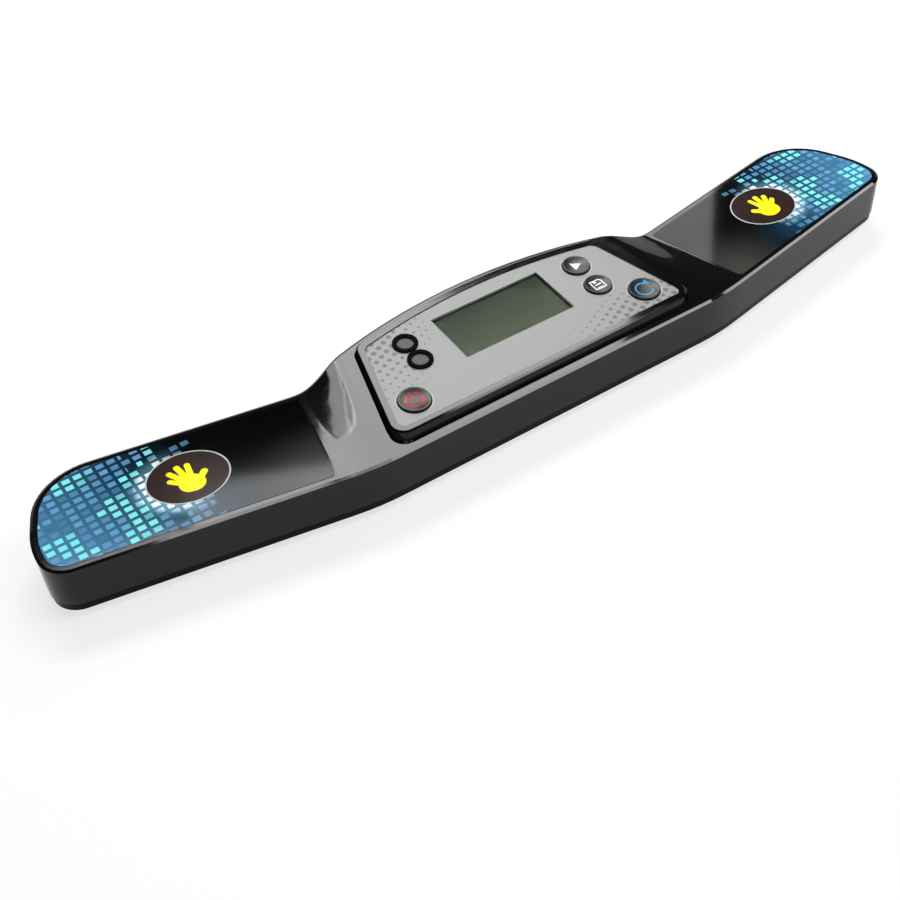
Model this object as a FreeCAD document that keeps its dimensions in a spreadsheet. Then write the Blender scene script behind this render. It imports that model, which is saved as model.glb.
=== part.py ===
import FreeCAD, Part
import Sketcher

# Speed cube timer: a low swept case, two touch wings and a raised display in the middle.
# Millimetres, +X to the right wing, +Y to the back, +Z up, origin under the middle of the
# case on the surface that the rubber feet stand on.

import os
import re
from math import acos, asin, cos, hypot, pi, radians, sin, tan

from FreeCAD import Rotation, Vector

doc = FreeCAD.newDocument("speed_cube_timer")

# ---------------------------------------------------------------- driving sizes

SIZES = {
    # plan of the case, one half of it, the other is its mirror image
    "half_length": 144.5,
    "front_reach": 24.83,
    "knee_x": 59.9,
    "knee_radius": 80.0,
    "sweep_angle": 10.54,
    "wing_depth": 38.1,
    "back_reach": 23.27,
    "back_radius": 175.0,
    "back_angle": 16.0,
    "cove_radius": 26.0,
    "tip_back_inset": 9.55,
    "tip_back_radius": 18.0,
    "tip_end_depth": 12.66,
    "tip_end_radius": 28.0,
    "tip_front_radius": 8.0,
    # heights of the case
    "foot_proud": 1.0,
    "shell_height": 15.8,
    "lower_height": 3.6,
    "deck_angle": 5.71,
    "ramp_run": 15.0,
    "ramp_foot_gap": 0.7,
    "rim_drop": 0.36,
    "rim_inset": 0.8,
    # walls of the two halves
    "wall": 2.0,
    "top_wall": 2.0,
    "floor_wall": 1.6,
    "joint_step": 0.35,
    "bottom_bevel": 1.2,
    "lip_height": 1.2,
    "lip_wall": 0.9,
    "lip_clearance": 0.15,
    # touch pads of the wings and the plates under them
    "pad_margin": 2.15,
    "pad_thickness": 0.6,
    "pad_proud": 0.1,
    "pad_clearance": 0.1,
    "pad_corner": 1.5,
    "pad_end_x": 65.86,
    "pad_end_angle": 11.86,
    "plate_thickness": 0.35,
    "plate_inner_x": 80.0,
    "plate_outer_inset": 18.5,
    "plate_margin": 4.6,
    "lead_radius": 0.4,
    "lead_inset": 4.0,
    "lead_y": -2.0,
    "lead_drop": 4.4,
    "lead_low_x": 66.0,
    "lead_low_z": 8.2,
    "lead_level_run": 11.0,
    # tilted display platform
    "panel_rise": 4.84,
    "panel_tilt": 4.95,
    "bezel_front": 21.03,
    "bezel_back": 20.07,
    "bezel_half_width": 46.4,
    "bezel_side_angle": 14.57,
    "bezel_corner": 4.2,
    "bezel_crown_radius": 178.0,
    "bezel_crown_reach": 37.0,
    "bezel_draft": 18.0,
    "bezel_edge": 0.45,
    "bezel_wall": 2.4,
    "bezel_floor": 1.2,
    "seat_width": 0.6,
    "panel_rim": 2.1,
    "panel_side_rim": 2.4,
    "panel_back_rim": 2.5,
    "panel_front_corner": 2.0,
    "panel_back_corner": 3.0,
    "panel_sink": 0.3,
    "panel_thickness": 0.8,
    "fit_gap": 0.1,
    # display
    "window_width": 37.3,
    "window_height": 18.5,
    "window_y": 3.02,
    "window_ledge": 0.4,
    "glass_width": 43.0,
    "glass_height": 22.0,
    "glass_thickness": 1.1,
    "frame_wall": 1.3,
    "zebra_width": 1.8,
    "zebra_height": 2.4,
    "stack_gap": 0.1,
    # round keys
    "big_key_radius": 4.75,
    "small_key_radius": 4.2,
    "key_clearance": 0.15,
    "guide_clearance": 0.4,
    "lens_clearance": 0.2,
    "key_proud": 0.4,
    "key_edge": 0.35,
    "dish_depth": 0.45,
    "flange_width": 0.9,
    "flange_height": 0.7,
    "flange_gap": 0.3,
    "stem_radius": 1.7,
    "stem_length": 0.3,
    "key_travel": 0.4,
    "mode_key_x": 40.0,
    "mode_key_y": -12.03,
    "side_key_x": 30.15,
    "play_key_y": 7.67,
    "save_key_y": -2.83,
    # state lamps
    "lamp_x": 30.05,
    "upper_lamp_y": 8.07,
    "lower_lamp_y": 0.27,
    "lamp_ring_radius": 3.7,
    "lamp_lens_radius": 2.45,
    "lamp_ring_proud": 0.25,
    "lens_sink": 0.25,
    "led_radius": 1.5,
    "led_height": 3.2,
    # circuit board and what is on it
    "board_thickness": 1.2,
    "board_half_width": 43.0,
    "board_front": 18.5,
    "board_back": 14.5,
    "switch_side": 5.2,
    "switch_wall": 0.4,
    "switch_slack": 0.1,
    "plunger_radius": 1.2,
    "plunger_clearance": 0.08,
    "plunger_depth": 0.8,
    "chip_radius": 4.0,
    "chip_height": 1.3,
    "chip_x": -8.0,
    "chip_y": -13.6,
    "crystal_radius": 1.0,
    "crystal_length": 6.0,
    "crystal_x": 2.0,
    "crystal_y": -14.0,
    "buzzer_radius": 4.5,
    "buzzer_height": 4.0,
    "buzzer_x": 36.0,
    "buzzer_y": -6.0,
    "buzzer_port": 0.8,
    # battery bay under the display
    "cell_radius": 5.25,
    "cell_length": 44.5,
    "cell_nub_radius": 1.9,
    "cell_nub_length": 0.8,
    "cell_pitch": 11.2,
    "cells_y": 3.0,
    "cell_clearance": 0.3,
    "bay_wall": 1.2,
    "bay_height": 6.4,
    "contact_thickness": 0.4,
    "contact_width": 7.6,
    "contact_height": 7.4,
    "spring_length": 3.9,
    "spring_width": 5.0,
    "door_thickness": 1.4,
    "door_gap": 0.3,
    "door_ledge": 0.4,
    "tab_length": 1.2,
    "tab_height": 0.8,
    "tab_lift": 0.1,
    "tab_width": 3.2,
    "latch_length": 1.5,
    "latch_height": 1.2,
    "latch_width": 3.0,
    "nail_notch_width": 9.0,
    "nail_notch_length": 2.4,
    "nail_notch_depth": 0.9,
    # screws and feet
    "post_radius": 3.0,
    "post_height": 6.4,
    "screw_radius": 1.1,
    "screw_head_radius": 2.0,
    "screw_head_height": 1.3,
    "screw_seat_height": 2.6,
    "screw_length": 8.0,
    "screw_clearance": 0.25,
    "thread_clearance": 0.03,
    "screw_well_radius": 2.4,
    "tip_screw_inset": 10.5,
    "tip_screw_depth": 15.04,
    "front_screw_reach": 10.6,
    "front_screw_depth": 9.36,
    "back_screw_reach": 6.1,
    "back_screw_depth": 30.7,
    "board_screw_radius": 0.9,
    "board_screw_head_radius": 1.8,
    "board_screw_head_height": 1.1,
    "board_screw_bite": 2.6,
    "board_post_radius": 2.0,
    "side_post_x": 38.3,
    "side_post_y": 5.5,
    "front_post_x": 27.0,
    "front_post_y": -14.0,
    "foot_radius": 4.0,
    "foot_recess": 0.4,
    "foot_clearance": 0.1,
    "wing_foot_inset": 23.5,
    "wing_foot_depth": 17.96,
    "front_foot_inset": 9.9,
    "front_foot_depth": 6.53,
    "back_foot_x": 37.0,
    "back_foot_y": 12.2,
}

sheet = doc.addObject("Spreadsheet::Sheet", "Sizes")
for row, (alias, value) in enumerate(SIZES.items(), start=1):
    sheet.set(f"A{row}", alias)
    sheet.set(f"B{row}", str(value))
    sheet.setAlias(f"B{row}", alias)
doc.recompute()


def size(alias):
    """A driving size as the sheet holds it."""
    return float(sheet.get(alias))


# ---------------------------------------------------------------- levels that follow from the sizes

shell_bottom = size("foot_proud")
parting_z = shell_bottom + size("lower_height")
wing_top_z = shell_bottom + size("shell_height")
floor_top_z = shell_bottom + size("floor_wall")
ceiling_z = wing_top_z - size("top_wall")
panel_z = wing_top_z + size("panel_rise")

# distances below the plane of the bezel's rim, in the tilted frame of the display
panel_bottom = size("panel_sink") + size("panel_thickness")
floor_bottom = panel_bottom + size("bezel_floor")
glass_top = floor_bottom + size("stack_gap")
board_top = glass_top + size("glass_thickness") + size("zebra_height")
board_bottom = board_top + size("board_thickness")

FLOOR_BOTTOM = "(panel_sink + panel_thickness + bezel_floor)"
BOARD_TOP = f"({FLOOR_BOTTOM} + stack_gap + glass_thickness + zebra_height)"
FLANGE_TOP = f"({FLOOR_BOTTOM} + flange_gap)"
STEM_END = f"({FLANGE_TOP} + flange_height + stem_length)"
SWITCH_TOP = f"({STEM_END} + key_travel + switch_slack)"
BOARD_BOTTOM = f"({BOARD_TOP} + board_thickness)"
PANEL_Z = "(foot_proud + shell_height + panel_rise)"
FLOOR_TOP = "(foot_proud + floor_wall)"


def beside_front(x, depth):
    """Formula of a Y that lies a depth behind the front of the wing at a formula of X."""
    return f"-front_reach + tan(sweep_angle * 1 deg) * ({x} - knee_x) + {depth}"


TIP_SCREW_X = "(half_length - tip_screw_inset)"
FRONT_SCREW_X = "(knee_x + front_screw_reach)"
BACK_SCREW_X = "(knee_x + back_screw_reach)"
WING_FOOT_X = "(half_length - wing_foot_inset)"
SCREW_SPOTS = (
    (TIP_SCREW_X, beside_front(TIP_SCREW_X, "tip_screw_depth")),
    (FRONT_SCREW_X, beside_front(FRONT_SCREW_X, "front_screw_depth")),
    (BACK_SCREW_X, beside_front(BACK_SCREW_X, "back_screw_depth")),
)
FOOT_SPOTS = (
    (WING_FOOT_X, beside_front(WING_FOOT_X, "wing_foot_depth")),
    ("(knee_x - front_foot_inset)", "front_foot_depth - front_reach"),
    ("back_foot_x", "back_foot_y"),
)

# Round parts that stay hidden or repeat are drawn with flat sides: pegs and screws, holes and
# parts behind the face, and the larger parts that can be seen.
PEG_SIDES = 6
GUIDE_SIDES = 12
ROUND_SIDES = 20

# ---------------------------------------------------------------- building helpers

pieces = []


def formula(text):
    """Turns the size names in a formula into references to the sheet."""
    def reference(word):
        return "Sizes." + word[0] if word[0] in SIZES else word[0]

    return re.sub(r"[a-z]\w*", reference, text)


def bind(item, **formulas):
    """Drives properties of an object by formulas of the sizes."""
    for name, text in formulas.items():
        item.setExpression(name.replace("__", "."), formula(text))
    return item


def place(item, x="0", y="0", z="0"):
    bind(item, Placement__Base__x=x, Placement__Base__y=y, Placement__Base__z=z)
    return item


def cylinder(name, radius, height, x="0", y="0", z="0"):
    item = doc.addObject("Part::Cylinder", name)
    bind(item, Radius=radius, Height=height)
    return place(item, x, y, z)


def peg(name, radius, height, x="0", y="0", z="0", sides=PEG_SIDES):
    """A cylinder drawn with flat sides; the radius reaches its corners."""
    item = doc.addObject("Part::Prism", name)
    item.Polygon = sides
    bind(item, Circumradius=radius, Height=height)
    return place(item, x, y, z)


def box(name, length, width, height, x, y, z):
    """A block from its corner with the smallest coordinates."""
    item = doc.addObject("Part::Box", name)
    bind(item, Length=length, Width=width, Height=height)
    return place(item, x, y, z)


def fuse(name, shapes):
    item = doc.addObject("Part::MultiFuse", name)
    item.Shapes = shapes
    item.Refine = True
    return item


def cut(name, base, tool):
    item = doc.addObject("Part::Cut", name)
    item.Base = base
    item.Tool = tool
    return item


def solid(name, shape):
    item = doc.addObject("Part::Feature", name)
    item.Shape = shape
    return item


def tilt(item):
    """Puts a piece drawn in the display's own frame into the tilted plane of the display."""
    item.Placement.Rotation = Rotation(Vector(1, 0, 0), size("panel_tilt"))
    item.setExpression("Placement.Rotation.Angle", formula("panel_tilt"))
    return place(item, z=PANEL_Z)


def keep(item, name):
    """Names a finished piece; its file takes the same name."""
    item.Label = name
    pieces.append(item)
    return item


def origin_plane(body, role):
    return next(plane for plane in body.Origin.OriginFeatures if plane.Role == role)


def sketch_on(body, name, role, lift="0"):
    """A sketch on one of the body's own origin planes, lifted along its normal."""
    sketch = body.newObject("Sketcher::SketchObject", name)
    sketch.AttachmentSupport = [(origin_plane(body, role), "")]
    sketch.MapMode = "FlatFace"
    bind(sketch, AttachmentOffset__Base__z=lift)
    return sketch


def outline(sketch, corners):
    """Closes a polygon whose corners are driven by pairs of formulas."""
    count = len(corners)
    first = sketch.GeometryCount
    spots = [Vector(cos(2 * pi * i / count), sin(2 * pi * i / count), 0) for i in range(count)]
    for i in range(count):
        sketch.addGeometry(Part.LineSegment(spots[i], spots[(i + 1) % count]), False)
    for i in range(count):
        joint = Sketcher.Constraint("Coincident", first + i, 2, first + (i + 1) % count, 1)
        sketch.addConstraint(joint)
    for i, (x, y) in enumerate(corners):
        for kind, axis, text in (("DistanceX", -2, x), ("DistanceY", -1, y)):
            if text == "0":
                sketch.addConstraint(Sketcher.Constraint("PointOnObject", first + i, 1, axis))
            else:
                index = sketch.addConstraint(Sketcher.Constraint(kind, first + i, 1, 1.0))
                sketch.setExpression(f"Constraints[{index}]", formula(text))


def revolve_body(name, corners):
    """A body turned about its own Z axis from a half profile of (radius, height) corners."""
    body = doc.addObject("PartDesign::Body", name)
    sketch = sketch_on(body, name + "_profile", "XZ_Plane")
    outline(sketch, corners)
    turn = body.newObject("PartDesign::Revolution", name + "_turn")
    turn.Profile = sketch
    turn.ReferenceAxis = (sketch, ["V_Axis"])
    turn.Angle = 360
    return body


def pad_body(name, corners, lift, thickness):
    """A flat body of one thickness, drawn from above, its underside at the lift."""
    body = doc.addObject("PartDesign::Body", name)
    sketch = sketch_on(body, name + "_outline", "XY_Plane", lift)
    outline(sketch, corners)
    pad = body.newObject("PartDesign::Pad", name + "_pad")
    pad.Profile = sketch
    bind(pad, Length=thickness)
    return body


def rectangle(x, y, width, height):
    """Corner formulas of a rectangle round its centre."""
    left, right = f"{x} - ({width}) / 2", f"{x} + ({width}) / 2"
    low, high = f"{y} - ({height}) / 2", f"{y} + ({height}) / 2"
    return [(left, low), (right, low), (right, high), (left, high)]


def upright(edge):
    """True for a straight edge along Z."""
    run = edge.Vertexes[-1].Point - edge.Vertexes[0].Point
    return len(edge.Vertexes) == 2 and hypot(run.x, run.y) < 1e-6


def unit(ax, ay, bx, by):
    reach = hypot(bx - ax, by - ay)
    return (bx - ax) / reach, (by - ay) / reach


def rounded_wire(corners, z=0.0):
    """A closed wire of straight runs joined by tangent arcs, from (x, y, radius) corners."""
    starts, middles, ends = [], [], []
    count = len(corners)
    for i, (x, y, radius) in enumerate(corners):
        ax, ay = unit(x, y, corners[i - 1][0], corners[i - 1][1])
        bx, by = unit(x, y, corners[(i + 1) % count][0], corners[(i + 1) % count][1])
        half = acos(max(-1.0, min(1.0, ax * bx + ay * by))) / 2
        trim = radius / tan(half)
        lean = hypot(ax + bx, ay + by)
        drop = radius / sin(half) - radius
        starts.append(Vector(x + ax * trim, y + ay * trim, z))
        ends.append(Vector(x + bx * trim, y + by * trim, z))
        middles.append(Vector(x + (ax + bx) / lean * drop, y + (ay + by) / lean * drop, z))
    edges = []
    for i in range(count):
        following = starts[(i + 1) % count]
        edges.append(Part.Arc(starts[i], middles[i], ends[i]).toShape())
        if (following - ends[i]).Length > 1e-6:
            edges.append(Part.LineSegment(ends[i], following).toShape())
    return Part.Wire(edges)


def prism(corners, bottom, top):
    return Part.Face(rounded_wire(corners, bottom)).extrude(Vector(0, 0, top - bottom))


def inset_prism(corners, inset, bottom, top):
    """The same prism with its wall moved inwards."""
    face = Part.Face(rounded_wire(corners, bottom))
    if inset:
        face = face.makeOffset2D(-inset)
    return face.extrude(Vector(0, 0, top - bottom))


def crowned(grow, front, back, half_width, crown_radius, front_corner, back_corner):
    """Corners of a shield: straight front, sides that close towards the back, crowned back edge."""
    lean = tan(radians(size("bezel_side_angle")))
    crown_angle = asin(size("bezel_crown_reach") / size("bezel_crown_radius"))
    fall = tan(crown_angle)
    crown = crown_radius + grow
    half = half_width + grow * hypot(1, lean)
    apex = back + grow + crown * (1 / cos(crown_angle) - 1)
    back_y = (apex - fall * half) / (1 - fall * lean)
    back_x = half - lean * back_y
    front_y = -front - grow
    front_x = half - lean * front_y
    return [
        (-front_x, front_y, front_corner + grow),
        (front_x, front_y, front_corner + grow),
        (back_x, back_y, back_corner + grow),
        (0.0, apex, crown),
        (-back_x, back_y, back_corner + grow),
    ]


# ---------------------------------------------------------------- plan of the case

sweep = tan(radians(size("sweep_angle")))


def wing_front(x):
    return -size("front_reach") + sweep * (x - size("knee_x"))


def wing_back(x):
    return wing_front(x) + size("wing_depth")


back_fall = tan(radians(size("back_angle")))
back_apex = size("back_reach") + size("back_radius") * (1 / cos(radians(size("back_angle"))) - 1)
cove_x = (back_apex - wing_back(0)) / (back_fall + sweep)
tip_back_x = size("half_length") - size("tip_back_inset")
tip_end_y = wing_front(size("half_length")) + size("tip_end_depth")
right_corners = [
    (size("knee_x"), -size("front_reach"), size("knee_radius")),
    (size("half_length"), wing_front(size("half_length")), size("tip_front_radius")),
    (size("half_length"), tip_end_y, size("tip_end_radius")),
    (tip_back_x, wing_back(tip_back_x), size("tip_back_radius")),
    (cove_x, wing_back(cove_x), size("cove_radius")),
]
left_corners = [(-x, y, radius) for x, y, radius in reversed(right_corners)]
case_corners = right_corners + [(0.0, back_apex, size("back_radius"))] + left_corners

# ---------------------------------------------------------------- sculpted top of the case

# The wings are flat. The deck between them rises towards the back, and a ramp with an
# S-shaped section, level at both its ends, joins it to each wing. Every surface is exact:
# a flat facet or a Bezier patch of degree three across and one along.

deck_slope = tan(radians(size("deck_angle")))
end_lean = tan(radians(size("pad_end_angle")))
deck_reach = 2 * size("front_reach")
deck_cover = size("shell_height")


def ramp_foot(y):
    """Where the ramp leaves the wing, measured from the middle of the case."""
    return size("pad_end_x") - size("ramp_foot_gap") - end_lean * y


def ramp_head(y):
    return ramp_foot(y) - size("ramp_run")


def deck_z(y):
    return wing_top_z + deck_slope * (y + size("front_reach"))


def facet(points):
    return Part.Face(Part.makePolygon(points + [points[0]]))


def ramp_patch(side):
    patch = Part.BezierSurface()
    patch.increase(3, 1)
    for step, share in enumerate((0, 0, 1, 1)):
        for end, y in enumerate((-deck_reach, deck_reach)):
            x = ramp_foot(y) - size("ramp_run") * step / 3
            z = wing_top_z + (deck_z(y) - wing_top_z) * share
            patch.setPole(step + 1, end + 1, Vector(side * x, y, z))
    return patch.toShape()


def above_top():
    """Everything above the top surface of the case, in five blocks side by side."""
    front, back = -deck_reach, deck_reach
    outside = size("half_length") + deck_cover
    faces = []
    for side in (-1, 1):
        wing = [
            Vector(side * ramp_foot(front), front, wing_top_z),
            Vector(side * outside, front, wing_top_z),
            Vector(side * outside, back, wing_top_z),
            Vector(side * ramp_foot(back), back, wing_top_z),
        ]
        faces.append(facet(wing))
        faces.append(ramp_patch(side))
    deck = [
        Vector(-ramp_head(front), front, deck_z(front)),
        Vector(ramp_head(front), front, deck_z(front)),
        Vector(ramp_head(back), back, deck_z(back)),
        Vector(-ramp_head(back), back, deck_z(back)),
    ]
    faces.append(facet(deck))
    return [face.extrude(Vector(0, 0, deck_cover)) for face in faces]


def stands_upright(face):
    low_u, high_u, low_v, high_v = face.ParameterRange
    return abs(face.normalAt((low_u + high_u) / 2, (low_v + high_v) / 2).z) < 1e-3


def rim_edges(shape):
    """The edges where the outer wall meets the top surface."""
    chosen = []
    for edge in shape.Edges:
        faces = shape.ancestorsOfType(edge, Part.Face)
        walls = [face for face in faces if stands_upright(face)]
        if len(faces) == 2 and len(walls) == 1 and edge.BoundBox.ZMin > parting_z + size("wall"):
            chosen.append(edge)
    return chosen


block_top = wing_top_z + deck_cover / 2
blocks_above = above_top()
case_block = prism(case_corners, parting_z, block_top).cut(blocks_above)
case_block = case_block.makeChamfer(size("rim_drop"), size("rim_inset"), rim_edges(case_block))

blocks_below = [block.translated(Vector(0, 0, -size("top_wall"))) for block in blocks_above]
hollow = inset_prism(case_corners, size("wall"), parting_z, block_top - size("top_wall"))
hollow = hollow.cut(blocks_below)

# ---------------------------------------------------------------- upper shell

display = FreeCAD.Placement(Vector(0, 0, panel_z), Rotation(Vector(1, 0, 0), size("panel_tilt")))


def bezel_outline(grow):
    return crowned(
        grow,
        size("bezel_front"),
        size("bezel_back"),
        size("bezel_half_width"),
        size("bezel_crown_radius"),
        size("bezel_corner"),
        size("bezel_corner"),
    )


def panel_outline(grow):
    return crowned(
        grow,
        size("bezel_front") - size("panel_rim"),
        size("bezel_back") - size("panel_back_rim"),
        size("bezel_half_width") - size("panel_side_rim"),
        size("bezel_crown_radius") - size("panel_back_rim"),
        size("panel_front_corner"),
        size("panel_back_corner"),
    )


def placed(shape, placement):
    moved = shape.copy()
    moved.Placement = placement.multiply(moved.Placement)
    return moved


def pad_blank(grow, bottom, top):
    """The touch pad's shape over one wing: the wing's own outline cut off beside the ramp."""
    blank = inset_prism(case_corners, size("pad_margin") - grow, bottom, top)
    front, back = -deck_reach, deck_reach
    near = size("pad_end_x") - grow
    far = size("half_length") + deck_cover
    window = [
        Vector(near - end_lean * front, front, bottom),
        Vector(far, front, bottom),
        Vector(far, back, bottom),
        Vector(near - end_lean * back, back, bottom),
    ]
    blank = blank.common(facet(window).extrude(Vector(0, 0, top - bottom)))
    inner = size("pad_end_x") + deck_cover
    ends = [edge for edge in blank.Edges if upright(edge) and edge.CenterOfMass.x < inner]
    ends.sort(key=lambda edge: edge.CenterOfMass.x + end_lean * edge.CenterOfMass.y)
    return blank.makeFillet(size("pad_corner"), ends[:2])


pad_bottom = wing_top_z + size("pad_proud") - size("pad_thickness")
right_recess = pad_blank(size("pad_clearance"), pad_bottom, wing_top_z + deck_cover)
left_recess = right_recess.mirror(Vector(0, 0, 0), Vector(1, 0, 0))

# The deck is open under the display platform, so that the board reaches the keys.
opening_outline = bezel_outline(-size("bezel_wall") - size("seat_width"))
deck_opening = placed(prism(opening_outline, -deck_cover, deck_cover), display)


def both_sides(spots):
    """Points in millimetres from pairs of formulas, on the right half and on the left."""
    points = []
    for x, y in spots:
        right_x = float(sheet.evalExpression(formula(x)))
        right_y = float(sheet.evalExpression(formula(y)))
        points += [(right_x, right_y), (-right_x, right_y)]
    return points


def flat_sided(radius, height, x, y, z, sides=PEG_SIDES):
    """A cylinder drawn with flat sides; the radius reaches its corners."""
    turns = [2 * pi * i / sides for i in range(sides + 1)]
    rim = [Vector(x + radius * cos(turn), y + radius * sin(turn), z) for turn in turns]
    return Part.Face(Part.makePolygon(rim)).extrude(Vector(0, 0, height))


screw_spots = both_sides(SCREW_SPOTS)

post_top = shell_bottom + size("post_height")
seat_z = shell_bottom + size("screw_seat_height")
screw_tip_z = seat_z + size("screw_length")

bosses = []
bores = []
for x, y in screw_spots:
    boss = flat_sided(size("post_radius"), block_top - post_top, x, y, post_top)
    bosses.append(boss.common(hollow))
    depth = screw_tip_z + size("screw_clearance") - post_top
    bores.append(flat_sided(size("screw_radius") + size("thread_clearance"), depth, x, y, post_top))

upper = case_block.cut(hollow).fuse(bosses)
upper = upper.cut(bores + [left_recess, right_recess, deck_opening]).removeSplitter()
keep(solid("upper_shell_form", upper), "upper_shell")

# ---------------------------------------------------------------- lower shell and battery bay

bottom_block = inset_prism(case_corners, size("joint_step"), shell_bottom, parting_z)
bottom_edges = [edge for edge in bottom_block.Edges if edge.BoundBox.ZMax < shell_bottom + 1e-3]
bottom_block = bottom_block.makeChamfer(size("bottom_bevel"), bottom_edges)
lip_inset = size("wall") + size("lip_clearance")
lip_top = parting_z + size("lip_height")
tray = inset_prism(case_corners, size("joint_step") + size("wall"), floor_top_z, lip_top)
lip = inset_prism(case_corners, lip_inset, floor_top_z, lip_top)
lip_hole = inset_prism(case_corners, lip_inset + size("lip_wall"), floor_top_z, lip_top)

bay_half = (size("cell_length") + size("contact_thickness") + size("spring_length")) / 2
bay_reach = size("cell_pitch") / 2 + size("cell_radius") + size("cell_clearance")
bay_top = floor_top_z + size("bay_height")
door_half = bay_half - size("door_ledge")
door_reach = bay_reach - size("door_ledge")


def centred_box(half_x, low_y, high_y, low_z, high_z):
    return Part.makeBox(2 * half_x, high_y - low_y, high_z - low_z, Vector(-half_x, low_y, low_z))


cells_y = size("cells_y")
bay_front, bay_back = cells_y - bay_reach, cells_y + bay_reach
bay_wall = size("bay_wall")
bay_outside = centred_box(
    bay_half + bay_wall, bay_front - bay_wall, bay_back + bay_wall, floor_top_z, bay_top
)
bay_inside = centred_box(bay_half, bay_front, bay_back, floor_top_z, bay_top)
door_hole = centred_box(
    door_half, cells_y - door_reach, cells_y + door_reach, shell_bottom, floor_top_z
)

tab_notch = Part.makeBox(
    size("bay_wall") + size("door_ledge"),
    size("tab_width") + 2 * size("door_gap"),
    size("tab_height") + 2 * size("tab_lift") + size("door_gap"),
    Vector(-bay_half - bay_wall, cells_y - size("tab_width") / 2 - size("door_gap"), floor_top_z),
)

posts = []
wells = []
for x, y in screw_spots:
    posts.append(flat_sided(size("post_radius"), post_top - floor_top_z, x, y, floor_top_z))
    well_radius = size("screw_well_radius")
    wells.append(flat_sided(well_radius, size("screw_seat_height"), x, y, shell_bottom))
    shank = size("screw_radius") + size("screw_clearance")
    wells.append(flat_sided(shank, post_top - seat_z, x, y, seat_z))

foot_wells = []
for x, y in both_sides(FOOT_SPOTS):
    radius = size("foot_radius") + size("foot_clearance")
    foot_wells.append(flat_sided(radius, size("foot_recess"), x, y, shell_bottom, ROUND_SIDES))

nail_notch = Part.makeBox(
    size("nail_notch_length"),
    size("nail_notch_width"),
    size("nail_notch_depth"),
    Vector(door_half, cells_y - size("nail_notch_width") / 2, shell_bottom),
)

lower = bottom_block.cut(tray).fuse([lip.cut(lip_hole), bay_outside.cut(bay_inside)] + posts)
lower = lower.cut([door_hole, nail_notch, tab_notch] + wells + foot_wells).removeSplitter()
keep(solid("lower_shell_form", lower), "lower_shell")

# ---------------------------------------------------------------- touch pads and sensor plates

right_pad = pad_blank(0.0, pad_bottom, wing_top_z + size("pad_proud"))
keep(solid("right_pad_form", right_pad), "right_pad")
keep(solid("left_pad_form", right_pad.mirror(Vector(0, 0, 0), Vector(1, 0, 0))), "left_pad")

plate_x = (size("plate_inner_x"), size("half_length") - size("plate_outer_inset"))
plate_bottom = ceiling_z - size("plate_thickness")
plate_corners = [
    Vector(plate_x[0], wing_front(plate_x[0]) + size("plate_margin"), plate_bottom),
    Vector(plate_x[1], wing_front(plate_x[1]) + size("plate_margin"), plate_bottom),
    Vector(plate_x[1], wing_back(plate_x[1]) - size("plate_margin"), plate_bottom),
    Vector(plate_x[0], wing_back(plate_x[0]) - size("plate_margin"), plate_bottom),
]
right_plate = facet(plate_corners).extrude(Vector(0, 0, size("plate_thickness")))
keep(solid("right_sensor_form", right_plate), "right_sensor")
keep(solid("left_sensor_form", right_plate.mirror(Vector(0, 0, 0), Vector(1, 0, 0))), "left_sensor")


def tube(points, radius):
    """A thin square lead along straight runs joined by tangent arcs, wide in the long bends."""
    edges = []
    start = points[0]
    for before, here, after in zip(points, points[1:], points[2:]):
        back, ahead = before - here, after - here
        shorter = min(back.Length, ahead.Length)
        back_way, ahead_way = Vector(back).normalize(), Vector(ahead).normalize()
        turn = pi - back_way.getAngle(ahead_way)
        if turn < 1e-3:
            continue
        trim = 0.45 * shorter
        bend = trim / tan(turn / 2)
        first, last = here + back_way * trim, here + ahead_way * trim
        bisector = (back_way + ahead_way).normalize()
        middle = here + bisector * (bend / cos(turn / 2) - bend)
        edges.append(Part.LineSegment(start, first).toShape())
        edges.append(Part.Arc(first, middle, last).toShape())
        start = last
    edges.append(Part.LineSegment(start, points[-1]).toShape())
    path = Part.Wire(edges)
    across = Rotation(Vector(0, 0, 1), points[1] - points[0])
    turns = [pi * i / 2 for i in range(5)]
    rim = [points[0] + across.multVec(Vector(cos(turn), sin(turn), 0) * radius) for turn in turns]
    return path.makePipeShell([Part.makePolygon(rim)], True, False)


lead_y = size("lead_y")
lead_start = Vector(plate_x[0] + size("lead_inset"), lead_y, plate_bottom)
board_edge_z = (display.multVec(Vector(0, lead_y, -(board_top + board_bottom) / 2))).z
board_edge_x = size("board_half_width")
lead_points = [
    lead_start,
    lead_start - Vector(0, 0, size("lead_drop")),
    Vector(size("lead_low_x"), lead_y, size("lead_low_z")),
    Vector(board_edge_x + size("lead_level_run"), lead_y, board_edge_z),
    Vector(board_edge_x, lead_y, board_edge_z),
]
right_lead = tube(lead_points, size("lead_radius"))
keep(solid("right_lead_form", right_lead), "right_lead")
keep(solid("left_lead_form", right_lead.mirror(Vector(0, 0, 0), Vector(1, 0, 0))), "left_lead")

# ---------------------------------------------------------------- display platform

platform_depth = size("bezel_front") * 0.5
flare = platform_depth * tan(radians(size("bezel_draft")))
bezel_top = rounded_wire(bezel_outline(0.0), 0.0)
bezel_foot = rounded_wire(bezel_outline(flare), -platform_depth)
blank = Part.makeLoft([bezel_foot, bezel_top], True, True)
top_edges = [edge for edge in blank.Edges if edge.BoundBox.ZMin > -1e-3]
blank = blank.makeChamfer(size("bezel_edge"), top_edges)

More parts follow.
